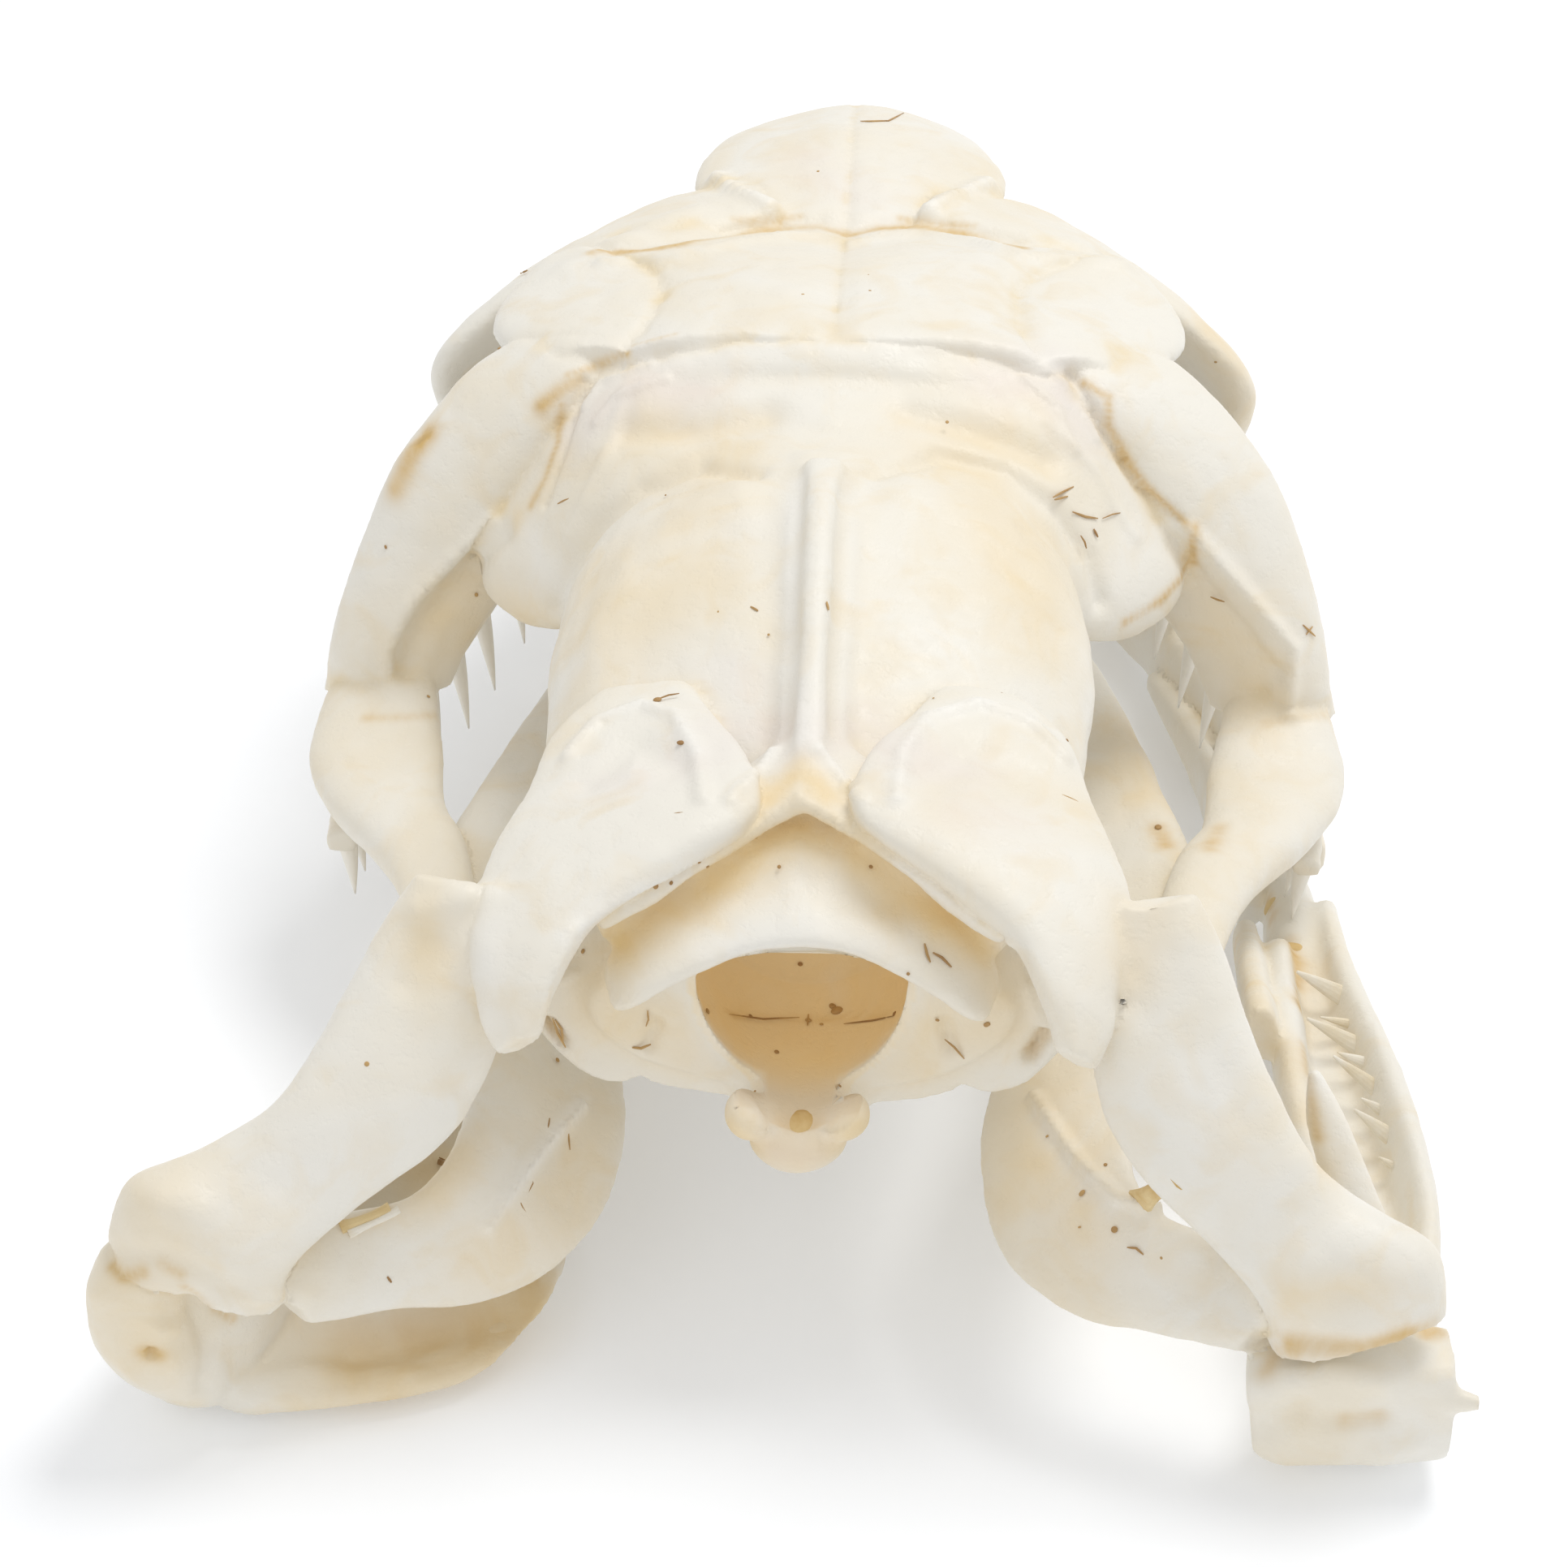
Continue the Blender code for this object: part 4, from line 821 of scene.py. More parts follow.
def bone_bodies():
    """The swept bodies of every bone, by name."""
    bones = {"braincase": braincase_bodies()}
    for name, tables in PAIRED.items():
        bones[name + "_right"] = [sweep(table) for table in tables]
        bones[name + "_left"] = left_bodies(name, [sweep(table) for table in tables])
    for name, tables in MEETING.items():
        bodies = [sweep(table) for table in tables]
        bones[name] = bodies + [mirrored(body) for body in bodies]
    bones["premaxilla"] = [sweep(PREMAXILLA_STEM), sweep(PREMAXILLA_GUM)]
    for side, places in JAW_PLACES.items():
        for name, (tables, which) in JAW.items():
            bodies = [sweep(table) for table in tables]
            bodies += [sweep(table, square) for table, square in JAW_OWN[side].get(name, [])]
            if side == "left":
                bodies = [mirrored(body) for body in bodies]
            bones[name + "_" + side] = placed(bodies, places[which])
    return bones


def smoothed_points(item, rounds):
    smooth = item.modifiers.new("ease", "SMOOTH")
    smooth.factor = 0.5
    smooth.iterations = rounds
    graph = bpy.context.evaluated_depsgraph_get()
    eased = item.evaluated_get(graph)
    points = read_points(eased.data)
    item.modifiers.remove(smooth)
    return points


def skin_of(bones):
    """One fine skin round all the bones, its creases filled and the brain's room cut out."""
    skin = fuse("skin", [body for bodies in bones.values() for body in bodies], smoothing=3)
    points = read_points(skin.data)
    out = read_normals(skin.data)
    eased = smoothed_points(skin, round(FILLET_ROUNDS * (FINE_VOXEL / VOXEL) ** 2))
    rise = np.clip(((eased - points) * out).sum(axis=1), 0.0, FILLET_MOST)
    write_points(skin.data, points + out * rise[:, None])
    write_points(skin.data, smoothed_points(skin, 3))
    room = join_bodies("room", [vault(BRAIN_ROOM)])
    cut = skin.modifiers.new("room", "BOOLEAN")
    cut.operation = "DIFFERENCE"
    cut.solver = "MANIFOLD"
    cut.object = room
    bake_modifiers(skin)
    discard(room)
    return skin


# Noise that lets the seams wander: height and cell
SEAM_WANDER = ((0.09, 0.8), (0.04, 0.3))


def nearest_bones(points, bones):
    """For each point the bone it belongs to, and how much further off the next bone is."""
    count = len(points)
    first = np.full(count, NO_BONE)
    second = np.full(count, NO_BONE)
    owner = np.zeros(count, dtype=np.int64)
    for number, bodies in enumerate(bones.values()):
        corners = np.array([tuple(point) for body in bodies for point in body[0]])
        faces = []
        start = 0
        for body_points, body_faces in bodies:
            faces.extend(tuple(start + corner for corner in face) for face in body_faces)
            start += len(body_points)
        tree = tree_of(corners, faces)
        picked = np.flatnonzero(near_box(points, corners, BONE_REACH))
        wander = np.zeros(len(picked))
        for height, cell in SEAM_WANDER:
            wander += height * lattice_noise(points[picked], cell, number)
        for index, stray in zip(picked, wander):
            found = tree.find_nearest(Vector(points[index]), BONE_REACH)
            if found[0] is None:
                continue
            gap = found[3] + stray
            if gap < first[index]:
                second[index] = first[index]
                first[index] = gap
                owner[index] = number
            elif gap < second[index]:
                second[index] = gap
    return owner, second - first


def settle_owners(mesh, owner, count):
    """Let every point follow the most of its neighbours, so that no crumbs are left."""
    ends = np.empty(len(mesh.edges) * 2, dtype=np.int32)
    mesh.edges.foreach_get("vertices", ends)
    ends = ends.reshape(-1, 2)
    for _ in range(3):
        votes = np.zeros((len(owner), count), dtype=np.int16)
        votes[np.arange(len(owner)), owner] = 2
        np.add.at(votes, (ends[:, 0], owner[ends[:, 1]]), 1)
        np.add.at(votes, (ends[:, 1], owner[ends[:, 0]]), 1)
        owner = votes.argmax(axis=1)
    return owner


def piece_of(name, points, faces, chosen):
    """A closed piece of the skin: the chosen faces, and caps where it joined its neighbours."""
    used = np.unique(faces[chosen])
    number = np.full(len(points), -1, dtype=np.int64)
    number[used] = np.arange(len(used))
    mesh = mesh_from(name, points[used], number[faces[chosen]].tolist())
    work = bmesh.new()
    work.from_mesh(mesh)
    work.normal_update()
    rim = [edge for edge in work.edges if edge.is_boundary]
    for edge in rim:
        edge.smooth = False
    inward = {vertex: vertex.normal.copy() for edge in rim for vertex in edge.verts}
    lip = bmesh.ops.extrude_edge_only(work, edges=rim)["geom"]
    sunk = [item for item in lip if isinstance(item, bmesh.types.BMVert)]
    rim = [item for item in lip if isinstance(item, bmesh.types.BMEdge)]
    under = {tuple(vertex.co): normal for vertex, normal in inward.items()}
    for vertex in sunk:
        vertex.co -= under[tuple(vertex.co)] * LIP * MM
    caps = bmesh.ops.holes_fill(work, edges=rim, sides=0)["faces"]
    bmesh.ops.triangulate(work, faces=caps)
    work.to_mesh(mesh)
    work.free()
    return link_mesh(name, mesh), used


# Teeth: root, lean, length and width in millimetres

TOOTH_ROOT = 0.5              # how deep a tooth is set in its bone


def tooth(root, lean, length, width, curl=0.34):
    lean = lean.normalized()
    back = Vector((0, -1, 0))
    side = lean.cross(back).normalized()
    points = []
    rings = 9
    sides = 8
    for ring in range(rings + 1):
        share = ring / rings
        out = (length + TOOTH_ROOT) * share - TOOTH_ROOT
        centre = root + lean * out + back * curl * length * share ** 2.2
        wide = width / 2 * (1 - 0.93 * share ** 1.5)
        for corner in range(sides):
            angle = 2 * math.pi * corner / sides
            points.append(centre + side * wide * math.cos(angle) + back * wide * math.sin(angle))
    return points, tube_faces(rings, sides)


def tooth_row(stations, count, offset, lengths, lean, seed, width):
    draw = random.Random(seed)
    rows = spline_rows(stations, 12)
    teeth = []
    for index in range(count):
        share = (index + 0.5) / count
        row = rows[round(share * (len(rows) - 1))]
        length = lengths[0] + (lengths[1] - lengths[0]) * share
        length *= draw.uniform(0.86, 1.1)
        tilt = Vector((draw.uniform(-0.06, 0.06), draw.uniform(-0.06, 0.06), 0))
        teeth.append(tooth(Vector(row[offset:offset + 3]), Vector(lean) + tilt, length, width))
    return teeth


def all_teeth():
    rows = {
        "maxilla": tooth_row(MAXILLA, 16, 3, (3.0, 1.1), (-0.25, -0.35, -1.0), 11, 0.62),
        "palatine": tooth_row(PALATINE, 6, 3, (2.4, 1.6), (0.1, -0.3, -1.0), 12, 0.6),
        "pterygoid": tooth_row(PTERYGOID[:4], 8, 3, (1.5, 1.0), (0.1, -0.3, -1.0), 13, 0.5),
    }
    teeth = {"premaxilla": tooth_row(PREMAXILLA_GUM, 4, 3, (1.5, 1.5), (0.0, -0.3, -1.0), 31, 0.5)}
    for name, row in rows.items():
        teeth[name + "_right"] = row
        teeth[name + "_left"] = left_bodies(name, [([p.copy() for p in pts], f) for pts, f in row])
    for side, places in JAW_PLACES.items():
        row = tooth_row(DENTARY[2:], 14, 0, (0.8, 1.9), (-0.4, -0.3, 1.0), 21, 0.5)
        if side == "left":
            row = [mirrored(body) for body in row]
        teeth["dentary_" + side] = placed(row, places[1])
    return teeth


def add_bodies(item, bodies):
    """Join closed bodies to a bone's mesh."""
    points = [Vector(p) for p in read_points(item.data)]
    faces = faces_of(item.data)
    for body_points, body_faces in bodies:
        start = len(points)
        points.extend(body_points)
        faces.extend(tuple(start + corner for corner in face) for face in body_faces)
    mesh = mesh_from(item.data.name + "_teeth", points, faces)
    before = item.data
    item.data = mesh
    bpy.data.meshes.remove(before)


# Relief, stains, painted shade and painted highlights, each along a line of photo pixels: (pixels, width,
# height or strength)

RELIEF = (
    # lip of the frontals over the nasals, and the step below it
    (((745, 325), (800, 320), (880, 306), (960, 292), (1010, 291), (1047, 302), (1085, 291), (1130, 286),
      (1200, 297), (1260, 315), (1380, 328)), 0.26, 0.16),
    (((740, 306), (800, 300), (880, 288), (960, 273), (1010, 271), (1047, 281), (1085, 271), (1130, 268),
      (1200, 280), (1260, 297), (1390, 310)), 0.28, -0.14),
    # midline of the nasals, and the white ridges of the prefrontals
    (((1050, 150), (1047, 270)), 0.16, -0.06),
    (((885, 222), (915, 240), (955, 256)), 0.26, 0.24),
    (((1215, 228), (1180, 240), (1145, 256)), 0.26, 0.24),
    (((700, 330), (760, 300), (860, 262)), 0.5, 0.14),
    # transverse ridge behind the frontals, and the hollows behind it
    (((790, 475), (850, 440), (940, 428), (1047, 432), (1150, 425), (1250, 440), (1300, 470)), 0.36, 0.10),
    (((770, 530), (860, 530), (940, 510)), 0.50, -0.24),
    (((1120, 505), (1200, 530), (1290, 565)), 0.50, -0.24),
    (((720, 500), (740, 470), (800, 448)), 0.14, 0.10),
    (((735, 520), (758, 490), (820, 468)), 0.14, 0.10),
    (((1290, 455), (1330, 490), (1350, 540)), 0.14, 0.10),
    (((1262, 468), (1302, 502), (1322, 556)), 0.14, 0.10),
    # crease between the wings and the swollen braincase
    (((930, 585), (860, 575), (790, 605), (735, 650), (700, 700), (682, 745)), 0.30, -0.22),
    (((1080, 585), (1160, 560), (1240, 580), (1300, 625), (1345, 690), (1358, 740)), 0.30, -0.22),
    (((905, 615), (850, 640), (780, 700), (745, 780), (735, 850)), 0.8, 0.20),
    (((1120, 600), (1200, 630), (1270, 700), (1320, 780), (1335, 850)), 0.8, 0.20),
    (((940, 620), (955, 720), (960, 820), (955, 890)), 0.5, -0.05),
    (((1035, 620), (1030, 720), (1030, 820), (1030, 890)), 0.5, -0.05),
    # fine folds over the wings
    (((720, 470), (700, 540), (672, 620)), 0.13, -0.14),
    (((1318, 460), (1365, 540), (1405, 600), (1450, 640)), 0.13, -0.14),
    (((770, 480), (745, 560), (700, 660)), 0.2, 0.08),
    (((1290, 520), (1350, 580), (1400, 660)), 0.2, 0.08),
    # inner leaves of the postorbitals
    (((605, 640), (555, 690), (505, 745), (478, 800), (480, 835)), 0.20, 0.20),
    (((620, 660), (572, 712), (525, 770), (500, 820)), 0.30, -0.20),
    (((1468, 655), (1500, 690), (1560, 760), (1595, 800), (1590, 880)), 0.20, 0.20),
    (((1450, 670), (1480, 710), (1535, 780), (1570, 830)), 0.30, -0.16),
    # rims of the supratemporals
    (((700, 930), (735, 888), (790, 866), (830, 878), (856, 925), (866, 985)), 0.20, 0.18),
    (((1105, 985), (1112, 930), (1145, 885), (1205, 868), (1268, 888), (1312, 935)), 0.20, 0.18),
    (((725, 960), (780, 915), (828, 940)), 0.50, -0.18),
    (((1150, 960), (1200, 920), (1255, 955)), 0.50, -0.18),
    # crest along the V at the back
    (((985, 985), (925, 1020), (860, 1055), (760, 1110), (702, 1150), (672, 1215),
      (662, 1268)), 0.14, 0.10),
    (((985, 985), (1050, 1025), (1110, 1065), (1190, 1120), (1245, 1160), (1270, 1230),
      (1295, 1285)), 0.14, 0.10),
    (((860, 1110), (985, 1080), (1110, 1110)), 0.60, -0.16),
    (((950, 925), (925, 960), (900, 985)), 0.18, 0.14),
    (((1010, 925), (1035, 960), (1060, 985)), 0.18, 0.14),
    # condyle: pit between its lobes, and the lobes
    (((985, 1380), (985, 1384)), 0.26, -0.20),
    (((923, 1374),), 0.30, 0.24),
    (((1037, 1374),), 0.30, 0.24),
    (((950, 1362), (985, 1366), (1015, 1362)), 0.16, 0.20),
    # small openings beside the foramen
    (((672, 1262), (690, 1284)), 0.16, -0.40),
    (((1270, 1300), (1286, 1276)), 0.16, -0.40),
    (((808, 1262), (800, 1290)), 0.18, -0.20),
    (((1165, 1262), (1172, 1292)), 0.18, -0.20),
    # quadrates: their heads and long hollows
    (((520, 1120), (560, 1108), (600, 1106)), 0.40, 0.22),
    (((530, 1160), (500, 1210)), 0.40, -0.14),
    (((590, 1150), (600, 1230), (590, 1300)), 0.7, 0.16),
    (((1420, 1120), (1400, 1180), (1390, 1230)), 0.55, -0.20),
    (((1470, 1150), (1530, 1290), (1600, 1420)), 0.6, 0.14),
    # left jaw joint
    (((140, 1545), (200, 1545), (260, 1570), (300, 1600)), 0.30, -0.12),
    (((300, 1600), (345, 1596), (380, 1600)), 0.22, 0.14),
    (((185, 1690),), 0.75, 0.26),
    (((186, 1668),), 0.20, -0.38),
    (((130, 1590), (170, 1585)), 0.45, 0.16),
    (((200, 1480), (240, 1490)), 0.45, 0.20),
    (((235, 1600), (255, 1660), (250, 1710)), 0.30, -0.16),
    (((170, 1640), (210, 1635)), 0.20, 0.12),
    # right jaw joint
    (((1590, 1652), (1680, 1660), (1765, 1640)), 0.30, -0.12),
    (((1660, 1600),), 0.60, -0.26),
    (((1590, 1700), (1640, 1690), (1700, 1700)), 0.30, 0.22),
    (((1640, 1752), (1700, 1748)), 0.35, -0.20),
    (((1560, 1760), (1600, 1740)), 0.40, -0.25),
    (((1740, 1780), (1700, 1792)), 0.35, 0.16),
    # ridges on the pterygoid blades and the left mandible's hollow
    (((600, 1510), (660, 1425), (715, 1362)), 0.15, 0.22),
    (((1275, 1352), (1324, 1423), (1378, 1477), (1430, 1492)), 0.15, 0.22),
    (((440, 1665), (520, 1640), (610, 1620)), 0.7, -0.40),
    (((330, 1700), (420, 1690), (500, 1690)), 0.35, 0.14),
)

# Ochre stains, and among them painted shadow under the frontals' lip and painted shade in the left
# mandible's fossa
STAINS_AND_SHADE = (
    # ochre staining and painted shadow along the step under the frontals' lip
    (((740, 313), (800, 308), (880, 293), (960, 277), (1010, 277), (1047, 286), (1085, 277), (1120, 274),
      (1200, 286), (1260, 304)), 0.20, 1.0),
    (((905, 270), (945, 270), (985, 264)), 0.12, 0.6),
    (((1200, 274), (1150, 270), (1110, 264)), 0.12, 0.6),
    (((700, 462), (740, 448), (770, 435)), 0.12, 0.9),
    (((692, 500), (688, 545), (672, 590), (655, 622)), 0.13, 0.7),
    (((668, 500), (690, 480), (712, 466)), 0.22, 0.9),
    (((780, 422), (830, 410)), 0.10, 0.5),
    (((730, 316), (748, 312)), 0.16, 0.9),
    (((1336, 472), (1366, 489), (1366, 524), (1388, 567), (1414, 602), (1466, 650)), 0.12, 0.85),
    (((1470, 650), (1468, 698), (1431, 741), (1388, 767)), 0.14, 0.9),
    (((487, 600), (500, 568), (524, 538)), 0.40, 1.0),
    (((1480, 365), (1520, 400)), 0.25, 0.4),
    (((1590, 1662), (1680, 1664), (1770, 1636)), 0.34, 1.0),
    (((1575, 1665), (1560, 1690)), 0.25, 0.6),
    (((1660, 1755), (1700, 1750)), 0.22, 0.6),
    (((140, 1560), (155, 1572), (178, 1565)), 0.16, 0.85),
    (((200, 1558), (222, 1570)), 0.14, 0.8),
    (((228, 1585), (262, 1612), (285, 1624)), 0.12, 0.7),
    (((180, 1668), (192, 1668)), 0.22, 1.0),
    (((974, 1384), (996, 1384)), 0.24, 1.0),
    # painted shade in the left mandible's fossa
    (((650, 1612), (560, 1645), (470, 1668)), 1.0, 0.50),
    (((450, 885), (545, 880)), 0.14, 0.5),
    (((1560, 890), (1640, 880)), 0.14, 0.35),
    (((435, 1510), (470, 1492)), 0.22, 0.8),
    (((672, 1262), (690, 1284)), 0.14, 0.7),
    (((1270, 1300), (1286, 1276)), 0.16, 0.8),
    (((900, 1250), (960, 1256), (1020, 1256), (1100, 1250)), 0.10, 0.7),
    (((1427, 1019), (1436, 1040)), 0.25, 0.8),
    (((1501, 1019), (1490, 1045)), 0.25, 0.7),
    (((1561, 1114), (1566, 1130)), 0.25, 0.9),
    (((1590, 1160), (1598, 1185), (1600, 1240)), 0.25, 0.9),
    (((1605, 1290), (1622, 1400)), 0.18, 0.6),
    (((645, 1583), (660, 1580)), 0.14, 0.6),
    (((690, 1575), (660, 1640)), 0.12, 0.4),
)

# Amber colour: painted shade in recesses and fossae and under the condyle, painted light on the shaded
# sides of the snout, and on the dome a yellower tone
WARM_TONE_AND_SHADE = (
    (((750, 700), (780, 800), (860, 640), (880, 560)), 1.3, 0.30),
    (((1250, 650), (1280, 760), (1180, 560)), 1.3, 0.30),
    (((780, 530), (860, 530), (940, 515)), 0.5, 0.40),
    (((1120, 512), (1200, 534), (1290, 570)), 0.5, 0.35),
    # painted shade in the recess under the V
    (((762, 1162), (815, 1122), (878, 1080), (934, 1042), (986, 1020), (1046, 1046), (1102, 1088),
      (1158, 1126), (1214, 1164)), 0.75, 1.0),
    (((740, 1190), (732, 1258), (815, 1272), (850, 1314)), 0.9, 0.50),
    (((1225, 1200), (1235, 1272), (1144, 1272), (1130, 1314)), 0.9, 0.50),
    (((950, 985), (985, 945), (1020, 980)), 0.45, 0.75),
    (((860, 1215), (900, 1290), (985, 1335), (1060, 1290), (1105, 1215)), 0.20, 0.3),
    (((190, 1500), (180, 1600), (200, 1700)), 1.2, 0.30),
    (((600, 1690), (500, 1700), (380, 1740)), 1.2, 0.45),
    (((560, 760), (600, 790), (640, 760)), 1.2, 0.50),
    (((1500, 760), (1540, 830), (1560, 860)), 1.2, 0.50),
    (((1390, 900), (1400, 980)), 1.0, 0.45),
    (((1300, 1330), (1290, 1430), (1340, 1500)), 1.4, 0.40),
    (((720, 1400), (700, 1500), (600, 1560)), 1.4, 0.35),
    (((1420, 1130), (1400, 1200)), 0.7, 0.35),
    (((530, 1130), (540, 1200)), 0.6, 0.30),
    (((700, 560), (640, 640)), 0.5, 0.35),
    (((1520, 1170), (1580, 1300), (1630, 1440)), 0.5, 0.45),
    (((560, 1420), (520, 1470)), 0.8, 0.6),
    # painted shade under the condyle and in the left mandible's fossa
    (((900, 1385), (935, 1410), (985, 1425), (1035, 1410), (1068, 1385)), 0.6, 0.90),
    (((650, 1612), (560, 1645), (450, 1670)), 1.3, 1.0),
    # painted light: yellower colour on the shaded sides of the snout
    (((545, 330), (520, 400), (500, 480)), 0.8, 0.40),
    (((1480, 370), (1510, 450), (1540, 520)), 0.8, 0.40),
    (((1600, 1600), (1700, 1590)), 0.6, 0.35),
    (((1395, 1120), (1385, 1180)), 0.8, 0.35),
)

LILAC = (
    (((720, 520), (790, 470), (860, 480)), 0.9, 0.55),
    (((1220, 470), (1290, 460), (1330, 520)), 0.9, 0.65),
    (((850, 930), (900, 900), (1060, 900), (1120, 930), (1180, 950)), 0.9, 0.55),
    (((740, 960), (800, 950)), 0.8, 0.35),
    (((1180, 1000), (1240, 1010)), 0.9, 0.35),
    (((450, 1640), (560, 1620)), 0.9, 0.3),
    (((1000, 1420), (960, 1420)), 0.7, 0.45),
    (((1000, 200), (1060, 240)), 0.9, 0.35),
    (((900, 830), (930, 860)), 0.8, 0.35),
)

# Painted highlights: paler colour along ridges, rims and edges where the light falls
PAINTED_HIGHLIGHTS = (
    (((982, 600), (975, 760), (985, 905)), 0.35, 0.9),
    (((950, 925), (920, 965)), 0.25, 0.8),
    (((1010, 925), (1045, 965)), 0.25, 0.8),
    (((790, 450), (940, 428), (1150, 425), (1280, 450)), 0.45, 0.6),
    (((700, 930), (735, 888), (790, 866), (830, 878), (856, 925)), 0.22, 0.8),
    (((1105, 985), (1112, 930), (1145, 885), (1205, 868), (1268, 888)), 0.30, 0.9),
    (((885, 222), (915, 240), (955, 256)), 0.25, 0.8),
    (((1215, 228), (1180, 240), (1145, 256)), 0.25, 0.8),
    (((860, 1065), (760, 1110), (700, 1150)), 0.35, 0.8),
    (((1110, 1075), (1190, 1125), (1245, 1165)), 0.35, 0.8),
    (((600, 1160), (600, 1250)), 0.6, 0.7),
    (((870, 1170), (985, 1140), (1100, 1170)), 0.4, 0.6),
    (((925, 1372),), 0.4, 0.7),
    (((1035, 1372),), 0.4, 0.7),
    (((400, 1420), (300, 1480)), 1.0, 0.4),
    (((1480, 1350), (1540, 1450)), 0.9, 0.5),
    (((600, 1500), (660, 1425), (720, 1352)), 0.25, 0.7),
    (((1275, 1375), (1320, 1440), (1370, 1490)), 0.25, 0.6),
    (((1618, 1310), (1650, 1400), (1680, 1480)), 0.5, 0.9),
    (((650, 640), (665, 690), (700, 740)), 0.4, 0.5),
    (((1400, 660), (1380, 720)), 0.5, 0.5),
)

JAW_BONES = ("compound", "coronoid", "dentary", "splenial")
ROOM_END = 4.2                # Y behind which the brain's room lies open
BRAINCASE_NODES = ("parietal", "prootic_right", "prootic_left", "parabasisphenoid",
                   "supraoccipital", "basioccipital", "exoccipital_right", "exoccipital_left")


def marks_of(eye, table):
    return [(eye.trace(pixels), width, height) for pixels, width, height in table]


# Natural unevenness: height, cell and seed of the noise
UNEVENNESS = ((0.07, 2.9, 40), (0.035, 1.1, 43), (0.014, 0.42, 45))
GROOVE_DEPTH = 0.05           # of the groove along the seams
GROOVE_WIDTH = 0.13
SEAM_WIDTH = 0.22             # of the colour along the seams
# Painted shade in creases and hollows: rounds of smoothing, and the depth at which the painted shade is
# full
HOLLOWS = ((20, 0.10), (110, 0.28))


def relieve(points, out, gap, relief):
    """Natural unevenness, a groove along the seams, then the marked ridges and dents."""
    push = np.zeros(len(points))
    for height, cell, seed in UNEVENNESS:
        push += height * lattice_noise(points, cell, seed)
    push -= GROOVE_DEPTH * np.exp(-(gap / GROOVE_WIDTH) ** 2)
    for mark in relief:
        push = push + bell(points, *mark)
    return points + out * push[:, None]


def hollow_shade_of(skin, points):
    """Painted shade: from 0 on flat and rounded bone to 1 in creases and hollows."""
    out = read_normals(skin.data)
    depth = np.zeros(len(points))
    for rounds, most in HOLLOWS:
        eased = smoothed_points(skin, round(rounds * (FINE_VOXEL / VOXEL) ** 2))
        depth += 0.5 * np.clip(((eased - points) * out).sum(axis=1) / most, 0.0, 1.0)
    return depth


def in_room(points):
    """1 on the walls of the brain's room, seen through the foramen; there the bone is painted amber and
    gives off more painted light.
    """
    ys, halves, tops, middles, bottoms = np.array(BRAIN_ROOM).T
    y = points[:, 1]
    half, top, middle, bottom = (np.interp(y, ys, row) for row in (halves, tops, middles, bottoms))
    reach = np.where(points[:, 2] > middle, top - middle, middle - bottom)
    radius = np.hypot(points[:, 0] / half, (points[:, 2] - middle) / reach)
    return np.where(radius < 1.08, np.clip((y - 0.3) / 1.3, 0, 1) * (y < ROOM_END), 0.0)


def clamp_to_cad(item):
    """Keep a finished bone inside the CAD's box."""
    low, high = CAD_BOX
    points = read_points(item.data) * MM
    points = np.clip(points, np.array(low) + 1e-6, np.array(high) - 1e-6)
    write_points(item.data, points / MM)


# Materials

IVORY = (0.78, 0.755, 0.69)
CREAM = (0.77, 0.71, 0.59)
TAN = (0.75, 0.63, 0.43)
AMBER = (0.76, 0.58, 0.30)
OCHRE = (0.62, 0.42, 0.16)
UMBER = (0.30, 0.17, 0.06)
OCHRE_PALE = (0.74, 0.61, 0.38)
LILAC_GREY = (0.74, 0.68, 0.66)
HIGHLIGHT_BONE = (0.83, 0.815, 0.775)
TOOTH_WHITE = (0.85, 0.82, 0.75)

PAINTED_GLOW = 0.06                   # painted light: emission from all the bone that lifts its shade, in place of light through the thin bone
PAINTED_GLOW_ROOM = 0.12              # stronger painted light on the walls of the brain's room

# Coats over the bone's colour, among them painted shade and painted highlights: painted value, how the
# patchy noise spreads it, and the colour
COATS = (
    ("warm_tone_and_shade", (0.25, 0.7, 0.6, 1.0), AMBER),
    ("lilac", (0.3, 0.65, 0.35, 1.0), LILAC_GREY),
    ("pale", (0.25, 0.6, 1.0, 0.6), HIGHLIGHT_BONE),
    ("seam", (0.45, 0.68, 0.05, 0.6), OCHRE_PALE),
    ("stain_and_shade", (0.32, 0.60, 0.40, 1.0), OCHRE),
    ("stain_and_shade", (0.60, 0.72, 0.0, 0.45), UMBER),
)


def noise_node(tree, place, scale, detail=3.0, distortion=0.0):
    made = tree.nodes.new("ShaderNodeTexNoise")
    made.inputs["Scale"].default_value = scale
    made.inputs["Detail"].default_value = detail
    made.inputs["Distortion"].default_value = distortion
    tree.links.new(place, made.inputs["Vector"])
    return made.outputs["Fac"]


def ramp(tree, value, low, high, start=0.0, end=1.0):
    made = tree.nodes.new("ShaderNodeMapRange")
    made.inputs["From Min"].default_value = low
    made.inputs["From Max"].default_value = high
    made.inputs["To Min"].default_value = start
    made.inputs["To Max"].default_value = end
    made.clamp = True
    tree.links.new(value, made.inputs["Value"])
    return made.outputs["Result"]


def times(tree, first, second, operation="MULTIPLY"):
    made = tree.nodes.new("ShaderNodeMath")
    made.operation = operation
    made.use_clamp = True
    for socket, value in zip(made.inputs, (first, second)):
        if isinstance(value, float):
            socket.default_value = value
        else:
            tree.links.new(value, socket)
    return made.outputs[0]


def mixed(tree, share, under, over):
    made = tree.nodes.new("ShaderNodeMix")
    made.data_type = "RGBA"
    tree.links.new(share, made.inputs[0])
    for socket, value in ((made.inputs[6], under), (made.inputs[7], over)):
        if isinstance(value, tuple):
            socket.default_value = (*value, 1.0)
        else:
            tree.links.new(value, socket)
    return made.outputs[2]


def painted(tree, name):
    made = tree.nodes.new("ShaderNodeAttribute")
    made.attribute_name = name
    return made.outputs["Fac"]


